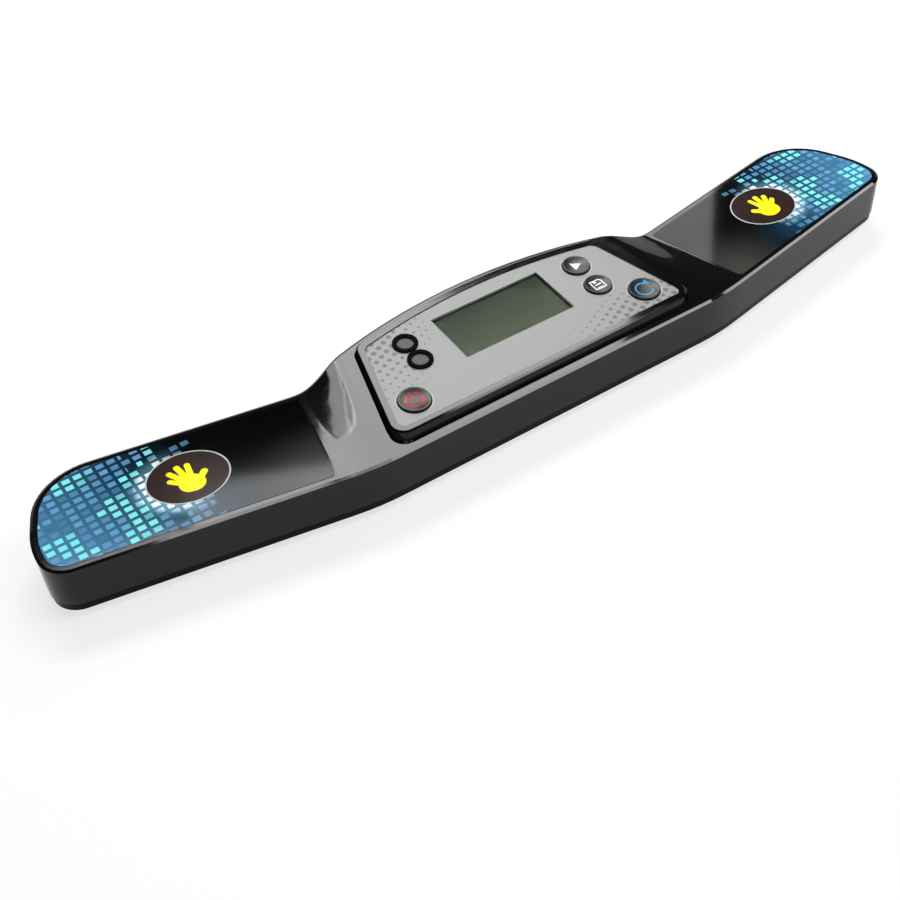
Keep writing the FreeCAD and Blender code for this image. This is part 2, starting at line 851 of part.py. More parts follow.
deck_front = Vector(0, -size("front_reach"), wing_top_z)
deck_plane = FreeCAD.Placement(deck_front, Rotation(Vector(1, 0, 0), size("deck_angle")))
ground = Part.makeBox(2 * size("half_length"), 4 * deck_reach, 4 * deck_cover)
ground.translate(Vector(-size("half_length"), -2 * deck_reach, -4 * deck_cover))
inside_seat = size("bezel_wall") + size("seat_width") + size("fit_gap")
inside_wall = prism(bezel_outline(-inside_seat), -2 * platform_depth, deck_cover)
below_deck = placed(ground, display.inverse().multiply(deck_plane)).cut(inside_wall)
panel_pocket = prism(panel_outline(size("fit_gap")), -panel_bottom, deck_cover)
under_hollow = prism(bezel_outline(-size("bezel_wall")), -2 * platform_depth, -floor_bottom)
bezel_blank = solid("bezel_blank", blank.cut([below_deck, panel_pocket, under_hollow]))

key_spots = {
    "power": ("-mode_key_x", "mode_key_y", "big_key_radius"),
    "play": ("side_key_x", "play_key_y", "small_key_radius"),
    "save": ("side_key_x", "save_key_y", "small_key_radius"),
    "reset": ("mode_key_x", "mode_key_y", "big_key_radius"),
}
lamp_spots = {"upper": ("-lamp_x", "upper_lamp_y"), "lower": ("-lamp_x", "lower_lamp_y")}
post_spots = {
    "side_left": ("-side_post_x", "side_post_y"),
    "side_right": ("side_post_x", "side_post_y"),
    "front_left": ("-front_post_x", "front_post_y"),
    "front_right": ("front_post_x", "front_post_y"),
}

posts = [bezel_blank]
for name, (x, y) in post_spots.items():
    post_length = f"{BOARD_TOP} - {FLOOR_BOTTOM}"
    posts.append(peg(f"bezel_post_{name}", "board_post_radius", post_length, x, y, f"-{BOARD_TOP}"))
bezel_solid = fuse("bezel_with_posts", posts)

# Every cutter of the face runs from the board up past the keys.
CUT_LENGTH = f"({BOARD_TOP} + key_proud)"
CUT_FOOT = f"-{BOARD_TOP}"

floor_holes = []
for name, (x, y, radius) in key_spots.items():
    guide = f"{radius} + guide_clearance"
    hole = peg(f"floor_hole_{name}", guide, CUT_LENGTH, x, y, CUT_FOOT, GUIDE_SIDES)
    floor_holes.append(hole)
for name, (x, y) in lamp_spots.items():
    guide = "lamp_lens_radius + lens_clearance"
    hole = peg(f"floor_hole_{name}_lamp", guide, CUT_LENGTH, x, y, CUT_FOOT, ROUND_SIDES)
    floor_holes.append(hole)
for name, (x, y) in post_spots.items():
    bore_radius = "board_screw_radius + thread_clearance"
    bore_depth = "board_screw_bite + screw_clearance"
    floor_holes.append(peg(f"post_bore_{name}", bore_radius, bore_depth, x, y, f"-{BOARD_TOP}"))
view = box(
    "view_opening",
    "window_width - 2 * window_ledge",
    "window_height - 2 * window_ledge",
    CUT_LENGTH,
    "-window_width / 2 + window_ledge",
    "window_y - window_height / 2 + window_ledge",
    CUT_FOOT,
)
floor_holes.append(view)
bezel = cut("bezel_form", bezel_solid, fuse("bezel_holes", floor_holes))
keep(tilt(bezel), "bezel")

panel_blank = solid("panel_blank", prism(panel_outline(0.0), -panel_bottom, -size("panel_sink")))
panel_holes = []
for name, (x, y, radius) in key_spots.items():
    around_key = f"{radius} + key_clearance"
    hole = cylinder(f"panel_hole_{name}", around_key, CUT_LENGTH, x, y, CUT_FOOT)
    panel_holes.append(hole)
for name, (x, y) in lamp_spots.items():
    around_lamp = "lamp_ring_radius + fit_gap / 2"
    hole = cylinder(f"panel_hole_{name}_lamp", around_lamp, CUT_LENGTH, x, y, CUT_FOOT)
    panel_holes.append(hole)
panel_holes.append(
    box(
        "panel_window_hole",
        "window_width + fit_gap",
        "window_height + fit_gap",
        CUT_LENGTH,
        "-(window_width + fit_gap) / 2",
        "window_y - (window_height + fit_gap) / 2",
        CUT_FOOT,
    )
)
keep(tilt(cut("panel_form", panel_blank, fuse("panel_openings", panel_holes))), "face_panel")

window = pad_body(
    "window_form",
    rectangle("0", "window_y", "window_width", "window_height"),
    "-(panel_sink + panel_thickness)",
    "panel_thickness",
)
keep(tilt(window), "lcd_window")

rings = []
ring_bores = []
lenses = []
leds = []
for name, (x, y) in lamp_spots.items():
    ring_foot = "-(panel_sink + panel_thickness)"
    ring_height = "panel_sink + panel_thickness + lamp_ring_proud"
    rings.append(cylinder(f"ring_{name}", "lamp_ring_radius", ring_height, x, y, ring_foot))
    ring_bore = "lamp_lens_radius + fit_gap / 2"
    bore = peg(f"ring_bore_{name}", ring_bore, CUT_LENGTH, x, y, CUT_FOOT, ROUND_SIDES)
    ring_bores.append(bore)
    lens_height = f"{FLOOR_BOTTOM} - lens_sink"
    lens_foot = f"-{FLOOR_BOTTOM}"
    lens = peg(f"lens_{name}", "lamp_lens_radius", lens_height, x, y, lens_foot, ROUND_SIDES)
    lenses.append(lens)
    stub_height = "led_height - led_radius / 2"
    leds.append(peg(f"led_stub_{name}", "led_radius", stub_height, x, y, f"-{BOARD_TOP}"))
    leds.append(peg(f"led_tip_{name}", "led_radius * 0.7", "led_height", x, y, f"-{BOARD_TOP}"))
keep(tilt(cut("ring_form", fuse("ring_blanks", rings), fuse("ring_bores", ring_bores))), "lamp_rings")
keep(tilt(fuse("lens_form", lenses)), "lamp_lenses")
keep(tilt(fuse("led_form", leds)), "lamp_leds")

# ---------------------------------------------------------------- display stack on the board

# The display is two sheets of glass: the front one reaches up to the window and leaves a
# ledge on the back one, where the rubber strips touch its contacts.
back_glass = box(
    "back_glass",
    "glass_width",
    "glass_height",
    "glass_thickness",
    "-glass_width / 2",
    "window_y - glass_height / 2",
    f"-{BOARD_TOP} + zebra_height",
)
front_glass = box(
    "front_glass",
    "window_width - 2 * window_ledge - 2 * fit_gap",
    "window_height - 2 * window_ledge - 2 * fit_gap",
    "bezel_floor",
    "-window_width / 2 + window_ledge + fit_gap",
    "window_y - window_height / 2 + window_ledge + fit_gap",
    f"-{FLOOR_BOTTOM} - stack_gap",
)
keep(tilt(fuse("glass_form", [back_glass, front_glass])), "lcd_glass")

frame_outer = box(
    "frame_outer",
    "glass_width + 2 * fit_gap + 2 * frame_wall",
    "glass_height + 2 * fit_gap + 2 * frame_wall",
    "glass_thickness + zebra_height",
    "-glass_width / 2 - fit_gap - frame_wall",
    "window_y - glass_height / 2 - fit_gap - frame_wall",
    f"-{BOARD_TOP}",
)
frame_pocket = box(
    "frame_pocket",
    "glass_width + 2 * fit_gap",
    "glass_height + 2 * fit_gap",
    "glass_thickness + zebra_height",
    "-glass_width / 2 - fit_gap",
    "window_y - glass_height / 2 - fit_gap",
    f"-{BOARD_TOP}",
)
keep(tilt(cut("lcd_frame_form", frame_outer, frame_pocket)), "lcd_frame")

low_strip = box(
    "low_strip",
    "glass_width",
    "zebra_width",
    "zebra_height",
    "-glass_width / 2",
    "window_y - glass_height / 2",
    f"-{BOARD_TOP}",
)
high_strip = box(
    "high_strip",
    "glass_width",
    "zebra_width",
    "zebra_height",
    "-glass_width / 2",
    "window_y + glass_height / 2 - zebra_width",
    f"-{BOARD_TOP}",
)
strips = [low_strip, high_strip]
keep(tilt(fuse("zebra_form", strips)), "zebra_strips")

board_blank = pad_body(
    "board_blank",
    rectangle("0", "(board_back - board_front) / 2", "2 * board_half_width", "board_back + board_front"),
    f"-{BOARD_TOP} - board_thickness",
    "board_thickness",
)
board_holes = []
for name, (x, y) in post_spots.items():
    hole_radius = "board_screw_radius + screw_clearance / 2"
    hole_foot = f"-{BOARD_BOTTOM} - board_thickness"
    board_holes.append(peg(f"board_hole_{name}", hole_radius, "3 * board_thickness", x, y, hole_foot))
keep(tilt(cut("board_form", board_blank, fuse("board_holes", board_holes))), "main_board")

screws = []
for name, (x, y) in post_spots.items():
    shank_length = "board_screw_bite + board_thickness"
    shank_foot = f"-{BOARD_BOTTOM}"
    screws.append(peg(f"board_shank_{name}", "board_screw_radius", shank_length, x, y, shank_foot))
    head_height = "board_screw_head_height"
    head_foot = f"-{BOARD_BOTTOM} - {head_height}"
    screws.append(peg(f"board_head_{name}", "board_screw_head_radius", head_height, x, y, head_foot))
keep(tilt(fuse("board_screw_form", screws)), "board_screws")

chip_foot = peg("chip_foot", "chip_radius", "chip_height / 2", sides=GUIDE_SIDES)
chip_cap = peg("chip_cap", "chip_radius * 0.7", "chip_height", sides=GUIDE_SIDES)
chip = fuse("chip_form", [chip_foot, chip_cap])
keep(chip, "controller_chip")

crystal = peg("crystal_form", "crystal_radius", "crystal_length")
keep(crystal, "crystal")

buzzer_can = peg("buzzer_can", "buzzer_radius", "buzzer_height", sides=GUIDE_SIDES)
buzzer_port = peg("buzzer_port_bore", "buzzer_port", "buzzer_height / 2")
keep(cut("buzzer_form", buzzer_can, buzzer_port), "buzzer")


def below_face(item, x, y, depth):
    """Moves a piece's own origin to (x, y, -depth) of the tilted display frame."""
    return place(
        item,
        x,
        f"({y}) * cos(panel_tilt * 1 deg) + ({depth}) * sin(panel_tilt * 1 deg)",
        f"{PANEL_Z} + ({y}) * sin(panel_tilt * 1 deg) - ({depth}) * cos(panel_tilt * 1 deg)",
    )


def hang(item, x, y, depth):
    """Tilts a piece with the display and places it there by its own origin."""
    item.Placement.Rotation = Rotation(Vector(1, 0, 0), size("panel_tilt"))
    item.setExpression("Placement.Rotation.Angle", formula("panel_tilt"))
    return below_face(item, x, y, depth)


hang(chip, "chip_x", "chip_y", f"{BOARD_BOTTOM} + chip_height")
hang(pieces[-1], "buzzer_x", "buzzer_y", f"{BOARD_BOTTOM} + buzzer_height")
crystal.Placement.Rotation = Rotation(Vector(0, 1, 0), 90)
below_face(crystal, "crystal_x", "crystal_y", f"{BOARD_BOTTOM} + crystal_radius")

# ---------------------------------------------------------------- keys and their switches

switch_blanks = []
switch_bores = []
for name, (x, y, radius) in key_spots.items():
    dish_width = f"({radius} - key_edge)"
    profile = [
        ("0", "key_proud - dish_depth"),
        ("0", f"-{FLANGE_TOP}"),
        (radius, f"-{FLANGE_TOP}"),
        (radius, "key_proud - key_edge"),
        (dish_width, "key_proud"),
        (f"{dish_width} * 0.4", "key_proud - dish_depth"),
    ]
    cap = revolve_body(f"{name}_cap", profile)
    flange_foot = f"-{FLANGE_TOP} - flange_height"
    flange_width = f"{radius} + flange_width"
    flange = peg(f"{name}_flange", flange_width, "flange_height", z=flange_foot)
    stem = peg(f"{name}_stem", "stem_radius", "stem_length + flange_height", z=f"-{STEM_END}")
    key = fuse(f"{name}_key", [cap, flange, stem])
    keep(hang(key, x, y, "0"), f"{name}_button")

    plunger_length = f"{SWITCH_TOP} + plunger_depth - {STEM_END}"
    plunger = peg(f"{name}_plunger_form", "plunger_radius", plunger_length)
    keep(hang(plunger, x, y, f"{SWITCH_TOP} + plunger_depth"), f"{name}_plunger")

    switch_blanks.append(
        box(
            f"{name}_switch_body",
            "switch_side",
            "switch_side",
            f"{BOARD_TOP} - {SWITCH_TOP}",
            f"{x} - switch_side / 2",
            f"{y} - switch_side / 2",
            f"-{BOARD_TOP}",
        )
    )
    bore_radius = "plunger_radius + plunger_clearance"
    bore_foot = f"-{BOARD_TOP} + switch_wall"
    switch_bores.append(peg(f"{name}_switch_bore", bore_radius, BOARD_TOP, x, y, bore_foot))
switches = cut("switch_form", fuse("switch_blanks", switch_blanks), fuse("switch_bores", switch_bores))
keep(tilt(switches), "tact_switches")

# ---------------------------------------------------------------- battery cells, contacts and door

BAY_HALF = "((cell_length + contact_thickness + spring_length) / 2)"
CELL_Z = "(foot_proud + door_thickness + cell_clearance + cell_radius)"
DOOR_HALF = f"({BAY_HALF} - door_ledge - door_gap)"
BAY_REACH = "(cell_pitch / 2 + cell_radius + cell_clearance)"
DOOR_REACH = f"({BAY_REACH} - door_ledge - door_gap)"


def lying(item, side):
    """Turns a cylinder's axis to +X for side 1, to -X for side -1."""
    item.Placement.Rotation = Rotation(Vector(0, 1, 0), 90 * side)
    return item


cells = []
contacts = []
for row, side in (("front", 1), ("back", -1)):
    row_y = f"cells_y - {side} * cell_pitch / 2"
    nub_end = f"({BAY_HALF} - contact_thickness)"
    can_length = "cell_length - cell_nub_length"
    can = lying(peg(f"cell_can_{row}", "cell_radius", can_length, sides=ROUND_SIDES), side)
    place(can, f"{side} * ({nub_end} - cell_length)", row_y, CELL_Z)
    nub = lying(peg(f"cell_nub_{row}", "cell_nub_radius", "cell_length / 2"), side)
    place(nub, f"{side} * ({nub_end} - cell_length / 2)", row_y, CELL_Z)
    cells += [can, nub]
    plate_corner = f"{BAY_HALF} - contact_thickness" if side == 1 else f"-{BAY_HALF}"
    contacts.append(
        box(
            f"plus_plate_{row}",
            "contact_thickness",
            "contact_width",
            "contact_height",
            plate_corner,
            f"{row_y} - contact_width / 2",
            f"{CELL_Z} - contact_height / 2",
        )
    )
keep(fuse("cell_form", cells), "battery_cells")
keep(fuse("contact_form", contacts), "contact_plates")


def leaf_spring(name, side):
    """A bent strip: its foot stands on the bay's end wall and its crest meets the cell."""
    reach = f"{side} * ({BAY_HALF} - spring_length)"
    wall = f"{side} * {BAY_HALF}"
    inner = f"{side} * ({BAY_HALF} - contact_thickness)"
    crest = f"{side} * ({BAY_HALF} - spring_length + contact_thickness)"
    low, high = f"{CELL_Z} - contact_height / 2", f"{CELL_Z} + contact_height / 2"
    profile = [
        (wall, low),
        (wall, high),
        (inner, high),
        (inner, f"{low} + contact_thickness * 2"),
        (crest, f"{CELL_Z} - contact_thickness"),
        (crest, f"{CELL_Z} + contact_thickness"),
        (inner, f"{high} - contact_thickness * 3"),
        (inner, f"{high} - contact_thickness * 1.5"),
        (reach, f"{CELL_Z} + contact_thickness * 2"),
        (reach, f"{CELL_Z} - contact_thickness * 2"),
        (inner, low),
    ]
    body = doc.addObject("PartDesign::Body", name)
    row_y = f"(cells_y + {side} * cell_pitch / 2)"
    sketch = sketch_on(body, name + "_profile", "XZ_Plane", f"-{row_y}")
    outline(sketch, profile)
    pad = body.newObject("PartDesign::Pad", name + "_pad")
    pad.Profile = sketch
    pad.Midplane = True
    bind(pad, Length="spring_width")
    return body


springs = [leaf_spring("right_spring", 1), leaf_spring("left_spring", -1)]
keep(fuse("spring_form", springs), "contact_springs")

door_plate = box(
    "door_plate",
    f"2 * {DOOR_HALF}",
    f"2 * {DOOR_REACH}",
    "door_thickness",
    f"-{DOOR_HALF}",
    f"cells_y - {DOOR_REACH}",
    "foot_proud",
)
tab_y = "cells_y - tab_width / 2"
tab_neck = box(
    "tab_neck",
    "tab_height",
    "tab_width",
    "floor_wall + tab_lift + tab_height - door_thickness / 2",
    f"-{DOOR_HALF}",
    tab_y,
    "foot_proud + door_thickness / 2",
)
tab = box(
    "tab",
    "tab_length + door_gap + tab_height",
    "tab_width",
    "tab_height",
    f"-{DOOR_HALF} - door_gap - tab_length",
    tab_y,
    f"{FLOOR_TOP} + tab_lift",
)
latch = box(
    "latch_block",
    "latch_length",
    "latch_width",
    "latch_height + door_thickness / 2",
    f"{DOOR_HALF} - latch_length",
    "cells_y - latch_width / 2",
    "foot_proud + door_thickness / 2",
)
keep(fuse("door_form", [door_plate, tab_neck, tab, latch]), "battery_door")

# ---------------------------------------------------------------- case screws and rubber feet

case_screws = []
feet = []
for half, side in (("right", ""), ("left", "-")):
    for number, (x, y) in enumerate(SCREW_SPOTS):
        head_name = f"{half}_screw_head_{number}"
        head_height = "screw_head_height"
        seat = "foot_proud + screw_seat_height"
        head = peg(head_name, "screw_head_radius", head_height, side + x, y, f"{seat} - {head_height}")
        shank_name = f"{half}_screw_shank_{number}"
        shank = peg(shank_name, "screw_radius", "screw_length", side + x, y, seat)
        case_screws += [head, shank]
    for number, (x, y) in enumerate(FOOT_SPOTS):
        height = "foot_proud + foot_recess"
        foot_name = f"{half}_foot_{number}"
        feet.append(peg(foot_name, "foot_radius", height, side + x, y, "0", ROUND_SIDES))
keep(fuse("case_screw_form", case_screws), "shell_screws")
keep(fuse("feet_form", feet), "feet")

# ---------------------------------------------------------------- check and write

doc.recompute()
for item in doc.Objects:
    if "Invalid" in item.State or "Error" in item.State:
        raise RuntimeError(f"{item.Name} did not compute: {item.State}")
for piece in pieces:
    if piece.Shape.isNull() or not piece.Shape.isValid():
        raise RuntimeError(f"{piece.Label} has no valid shape")

os.makedirs("parts", exist_ok=True)
for piece in pieces:
    piece.Shape.exportStep(f"parts/{piece.Label}.step")
    box_of = piece.Shape.BoundBox
    count = len(piece.Shape.Solids)
    print(f"{piece.Label}: {count} solids, {piece.Shape.Volume:.1f} mm3")
    print(f"  x {box_of.XMin:.2f}..{box_of.XMax:.2f}, y {box_of.YMin:.2f}..{box_of.YMax:.2f}")
    print(f"  z {box_of.ZMin:.2f}..{box_of.ZMax:.2f}")
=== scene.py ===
from math import atan2, cos, pi, radians, sin

import bpy
from mathutils import Matrix, Vector


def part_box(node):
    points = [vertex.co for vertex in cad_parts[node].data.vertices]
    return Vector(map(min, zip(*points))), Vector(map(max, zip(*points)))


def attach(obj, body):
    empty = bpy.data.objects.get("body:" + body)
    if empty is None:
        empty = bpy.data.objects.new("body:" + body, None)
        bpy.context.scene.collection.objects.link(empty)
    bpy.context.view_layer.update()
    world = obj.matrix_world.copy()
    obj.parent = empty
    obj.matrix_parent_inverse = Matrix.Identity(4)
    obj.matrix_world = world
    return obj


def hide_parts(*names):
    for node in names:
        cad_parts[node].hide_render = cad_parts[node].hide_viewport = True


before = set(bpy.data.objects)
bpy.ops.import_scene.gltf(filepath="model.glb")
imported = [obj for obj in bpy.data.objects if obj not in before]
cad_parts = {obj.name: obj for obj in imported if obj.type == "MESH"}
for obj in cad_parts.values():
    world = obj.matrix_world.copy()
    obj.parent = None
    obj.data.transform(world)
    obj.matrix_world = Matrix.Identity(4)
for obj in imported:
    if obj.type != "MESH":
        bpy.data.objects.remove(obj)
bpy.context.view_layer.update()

bpy.ops.object.select_all(action="DESELECT")

# ---------------------------------------------------------------- camera
# A standing viewer in front of the left wing looks down on the timer, with the head a
# little to one side. The lens is the normal angle of a product view.

camera_place = Vector((-0.1670635, -0.2404119, 0.248839))
camera_azimuth = radians(-30.9455)
camera_height = radians(43.4903)
camera_roll = radians(-4.3939)
# film width and focal length in millimetres, and the nearest thing drawn in metres
film_width, focal_length, nearest_drawn = 36, 51.591, 0.01

back = Vector((sin(camera_azimuth) * cos(camera_height),
               -cos(camera_azimuth) * cos(camera_height), sin(camera_height)))
right = Vector((cos(camera_azimuth), sin(camera_azimuth), 0))
up = back.cross(right)
side_axis = cos(camera_roll) * right + sin(camera_roll) * up
top_axis = cos(camera_roll) * up - sin(camera_roll) * right

camera_lens = bpy.data.cameras.new("product_camera")
camera_lens.sensor_width = film_width
camera_lens.lens = focal_length
camera_lens.clip_start = nearest_drawn
camera = bpy.data.objects.new("product_camera", camera_lens)
bpy.context.scene.collection.objects.link(camera)
turn = Matrix((side_axis, top_axis, back)).transposed()
camera.matrix_world = Matrix.Translation(camera_place) @ turn.to_4x4()
bpy.context.scene.camera = camera
bpy.context.scene.view_settings.view_transform = "Standard"

# ---------------------------------------------------------------- table and studio light
# The timer stands on a wide table top of pale satin board, which a low round cove closes. Two
# softboxes stand behind it, a low one lights the keys and the right pad, one fills the left
# ramp, and five small ones draw the edges of the case.


def linear(code):
    """The linear colour that a shader takes for an sRGB hex value."""
    tones = (int(code[start:start + 2], 16) / 255 for start in (1, 3, 5))
    return tuple(tone / 12.92 if tone <= 0.04045 else ((tone + 0.055) / 1.055) ** 2.4
                 for tone in tones) + (1.0,)


def add(tree, kind, inputs=None, **settings):
    """Adds a shader node with its settings, and sets or joins its inputs, by name or by place.
    A node given for an input stands for its first output. In a Mix node 0 is the share, 2 and
    3 are its two numbers, and 6 and 7 its two colours."""
    made = tree.nodes.new("ShaderNode" + kind)
    for name, value in settings.items():
        setattr(made, name, value)
    for name, value in (inputs or {}).items():
        if isinstance(value, bpy.types.Node):
            value = value.outputs[0]
        if isinstance(value, bpy.types.NodeSocket):
            tree.links.new(value, made.inputs[name])
        else:
            made.inputs[name].default_value = value
    return made


def start_material(name, **sockets):
    """A new material, its node tree, its shader with these constants, and the socket that
    gives the place on the piece, in metres."""
    material = bpy.data.materials.new(name)
    material.use_nodes = True
    shader = material.node_tree.nodes["Principled BSDF"]
    for socket, value in sockets.items():
        shader.inputs[socket.replace("_", " ")].default_value = value
    here = add(material.node_tree, "TexCoord").outputs["Object"]
    return material, material.node_tree, shader, here


def mottle(tree, shader, here, dark, light, grains, detail):
    """Clouds two tones into each other as the shader's colour. The grains are counted per
    metre, so 1000 stands for a grain of a millimetre. Gives back the clouds."""
    clouds = add(tree, "TexNoise", {"Vector": here, "Scale": grains, "Detail": detail})
    tone = add(tree, "Mix", {0: clouds.outputs["Fac"], 6: linear(dark), 7: linear(light)},
               data_type="RGBA")
    tree.links.new(tone.outputs[2], shader.inputs["Base Color"])
    return clouds.outputs["Fac"]


table_size = 6.0
# how much of plain white the board shows to the eye, in gloss and through glass
board_glow = 0.72

bpy.ops.mesh.primitive_plane_add(size=table_size, location=(0, 0, 0))
table = bpy.context.object
table.name = "table_top"

# White satin board: bright and plain. Its fine tooth only breaks up the shadow, and is drawn
# at about a millimetre to show.
white_board, tree, shader, here = start_material("white_satin_board", Roughness=0.6)
mottle(tree, shader, here, "#F4F4F4", "#FAFAFA", grains=900, detail=2)
rays = add(tree, "LightPath")
seen = add(tree, "Math", {0: rays.outputs["Is Camera Ray"], 1: rays.outputs["Is Glossy Ray"]},
           operation="MAXIMUM")
seen = add(tree, "Math", {0: seen, 1: rays.outputs["Is Transmission Ray"]}, operation="MAXIMUM")
share = add(tree, "Math", {0: seen, 1: board_glow}, operation="MULTIPLY")
glow = add(tree, "Emission", {"Color": (1, 1, 1, 1), "Strength": 1.0})
both = add(tree, "MixShader", {0: share, 1: shader, 2: glow})
tree.links.new(both.outputs[0], tree.nodes["Material Output"].inputs["Surface"])
table.data.materials.append(white_board)

# radius at the foot of the cove, radius of its curve and height of its wall, in metres
cove_foot, cove_curve, cove_wall = 2.5, 0.4, 0.5
cove_sides, cove_steps = 96, 8
bpy.ops.object.select_all(action="DESELECT")
bpy.ops.mesh.primitive_circle_add(vertices=cove_sides, radius=cove_foot, location=(0, 0, 0))
cove = bpy.context.object
cove.name = "studio_cove"
bpy.ops.object.mode_set(mode="EDIT")
bpy.ops.mesh.select_all(action="SELECT")
reach, height = cove_foot, 0
# the board curves up in equal steps of a quarter turn, and then stands as a wall
for step in range(1, cove_steps + 1):
    lean = step / cove_steps * pi / 2
    wider, higher = cove_foot + cove_curve * sin(lean), cove_curve * (1 - cos(lean))
    bpy.ops.mesh.extrude_region_move(TRANSFORM_OT_translate={"value": (0, 0, higher - height)})
    bpy.ops.transform.resize(value=(wider / reach, wider / reach, 1), center_override=(0, 0, 0))
    reach, height = wider, higher
bpy.ops.mesh.extrude_region_move(TRANSFORM_OT_translate={"value": (0, 0, cove_wall)})
bpy.ops.object.mode_set(mode="OBJECT")
bpy.ops.object.shade_smooth()
cove.data.materials.append(white_board)

# the room is dim and a little cool
world = bpy.data.worlds.new("studio_room")
world.use_nodes = True
room_light = world.node_tree.nodes["Background"]
room_light.inputs["Color"].default_value = (0.9, 0.95, 1, 1)
room_light.inputs["Strength"].default_value = 0.1
bpy.context.scene.world = world

# name, azimuth, elevation and roll in degrees, width and height in metres, power in watts;
# each hangs a metre from the middle of the table and faces it
softboxes = (
    ("back_softbox", 61, 53.2, 3, 0.54, 0.26, 5.4),
    ("left_softbox", 95, 48.6, -7.5, 0.24, 0.096, 0.62),
    ("low_softbox", 51, 32, 0, 0.30, 0.28, 1.4),
    ("top_softbox", -100, 82, 0, 0.18, 0.16, 1.1),
    ("front_softbox", -29, 58.8, 35, 0.09, 0.42, 1.7),
    ("edge_softbox", -48, 45, 0, 0.26, 0.12, 1.1),
    ("right_softbox", -5.5, 43.2, 20, 0.13, 0.36, 1.8),
    ("ramp_softbox", 98, 55.5, 0, 0.28, 0.16, 1.15),
    ("knee_softbox", -46, 75, 0, 0.09, 0.24, 0.7),
)
for name, azimuth, elevation, roll, width, height, power in softboxes:
    lamp = bpy.data.lights.new(name, "AREA")
    lamp.shape = "RECTANGLE"
    lamp.size = width
    lamp.size_y = height
    lamp.energy = power
    box = bpy.data.objects.new(name, lamp)
    around, above = radians(azimuth), radians(elevation)
    box.location = (cos(around) * cos(above), sin(around) * cos(above), sin(above))
    facing = box.location.to_track_quat("Z", "Y").to_matrix()
    box.rotation_euler = (facing @ Matrix.Rotation(radians(roll), 3, "Z")).to_euler()
    bpy.context.scene.collection.objects.link(box)

# ---------------------------------------------------------------- lower shell and its door
# The bottom half of the case and the battery door are moulded in high gloss black ABS from
# polished steel. Only the underside is left with a fine spark texture.


def dress(material, *names):
    """Gives a material to all the slots of these pieces of the frame."""
    for name in names:
        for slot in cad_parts[name].material_slots:
            slot.material = material


def piano_black(name, tone, satin_below, shine):
    """Gloss black plastic: deep and clear, with the faint waviness of a moulded wall and
    hair marks from wiping. Below a height, in metres, it turns spark textured and dull
    within 0.2 mm."""
    material, tree, shader, here = start_material(name, Base_Color=linear(tone), IOR=1.53,
                                                  Specular_IOR_Level=shine)
    height = add(tree, "SeparateXYZ", {0: here})
    satin = add(tree, "MapRange", {"Value": height.outputs["Z"], "From Min": satin_below,
                                   "From Max": satin_below - 0.0002})
    # wiping marks are about 5.5 mm long and 0.4 mm apart
    wiped = add(tree, "Mapping", {"Vector": here, "Scale": (180, 2600, 900)})
    hair = add(tree, "TexNoise", {"Vector": wiped, "Scale": 1.0, "Detail": 4})
    gloss = add(tree, "MapRange", {"Value": hair.outputs["Fac"], "From Min": 0.35,
                                   "From Max": 0.75, "To Min": 0.045, "To Max": 0.11})
    rough = add(tree, "Mix", {0: satin, 2: gloss, 3: 0.38})
    tree.links.new(rough.outputs[0], shader.inputs["Roughness"])
    # walls wave over about 9 mm; spark texture is about 0.25 mm, drawn at 0.5 mm to show
    waves = add(tree, "TexNoise", {"Vector": here, "Scale": 110, "Detail": 1})
    sparks = add(tree, "TexNoise", {"Vector": here, "Scale": 2000, "Detail": 3})
    relief = add(tree, "Mix", {0: satin, 2: waves.outputs["Fac"], 3: sparks.outputs["Fac"]})
    depth = add(tree, "MapRange", {"Value": satin, "To Min": 0.000003, "To Max": 0.00006})
    bump = add(tree, "Bump", {"Height": relief, "Distance": depth, "Strength": 1.0})
    tree.links.new(bump.outputs[0], shader.inputs["Normal"])
    return material


# Gloss black ABS: a dark mirror on the walls, dull where the timer faces the table.
case_black = piano_black("gloss_black_abs", "#050506", satin_below=0.0011, shine=0.08)
dress(case_black, "lower_shell", "battery_door")

# ---------------------------------------------------------------- rubber feet
# Six die-cut pads of black foam-backed rubber, glued into rings on the underside. They carry
# the timer and keep it from sliding under the hands.

# Rubber: dull, a shade greyer than the case, with a grain of about 0.6 mm.
foot_rubber, tree, shader, here = start_material("die_cut_rubber", Specular_IOR_Level=0.3,
                                                 Roughness=0.8)
grain = mottle(tree, shader, here, "#161617", "#2C2C2D", grains=1600, detail=4)
bump = add(tree, "Bump", {"Height": grain, "Distance": 0.0001})
tree.links.new(bump.outputs[0], shader.inputs["Normal"])
dress(foot_rubber, "feet")

# ---------------------------------------------------------------- battery cells and contacts
# Two AAA cells in foil sleeves lie head to tail under the door. The contacts are bent from
# nickel-plated spring steel.

# where the band starts on the sleeves, in metres from the middle of the timer
band_start = 0.0085

# Printed foil sleeve: dark body with clouds of about 3 mm, a copper-coloured band at one end,
# soft metal shine.
cell_foil, tree, shader, here = start_material("printed_foil_sleeve", Metallic=0.7,
                                               Roughness=0.32)
spot = add(tree, "SeparateXYZ", {0: here})
band = add(tree, "Math", {0: spot.outputs["X"], 1: band_start}, operation="GREATER_THAN")
smear = add(tree, "TexNoise", {"Vector": here, "Scale": 300, "Detail": 3})
dark = add(tree, "Mix", {0: smear.outputs["Fac"], 6: linear("#26282C"), 7: linear("#3A3D42")},
           data_type="RGBA")
tone = add(tree, "Mix", {0: band, 6: dark.outputs[2], 7: linear("#B5793A")}, data_type="RGBA")
tree.links.new(tone.outputs[2], shader.inputs["Base Color"])
dress(cell_foil, "battery_cells")

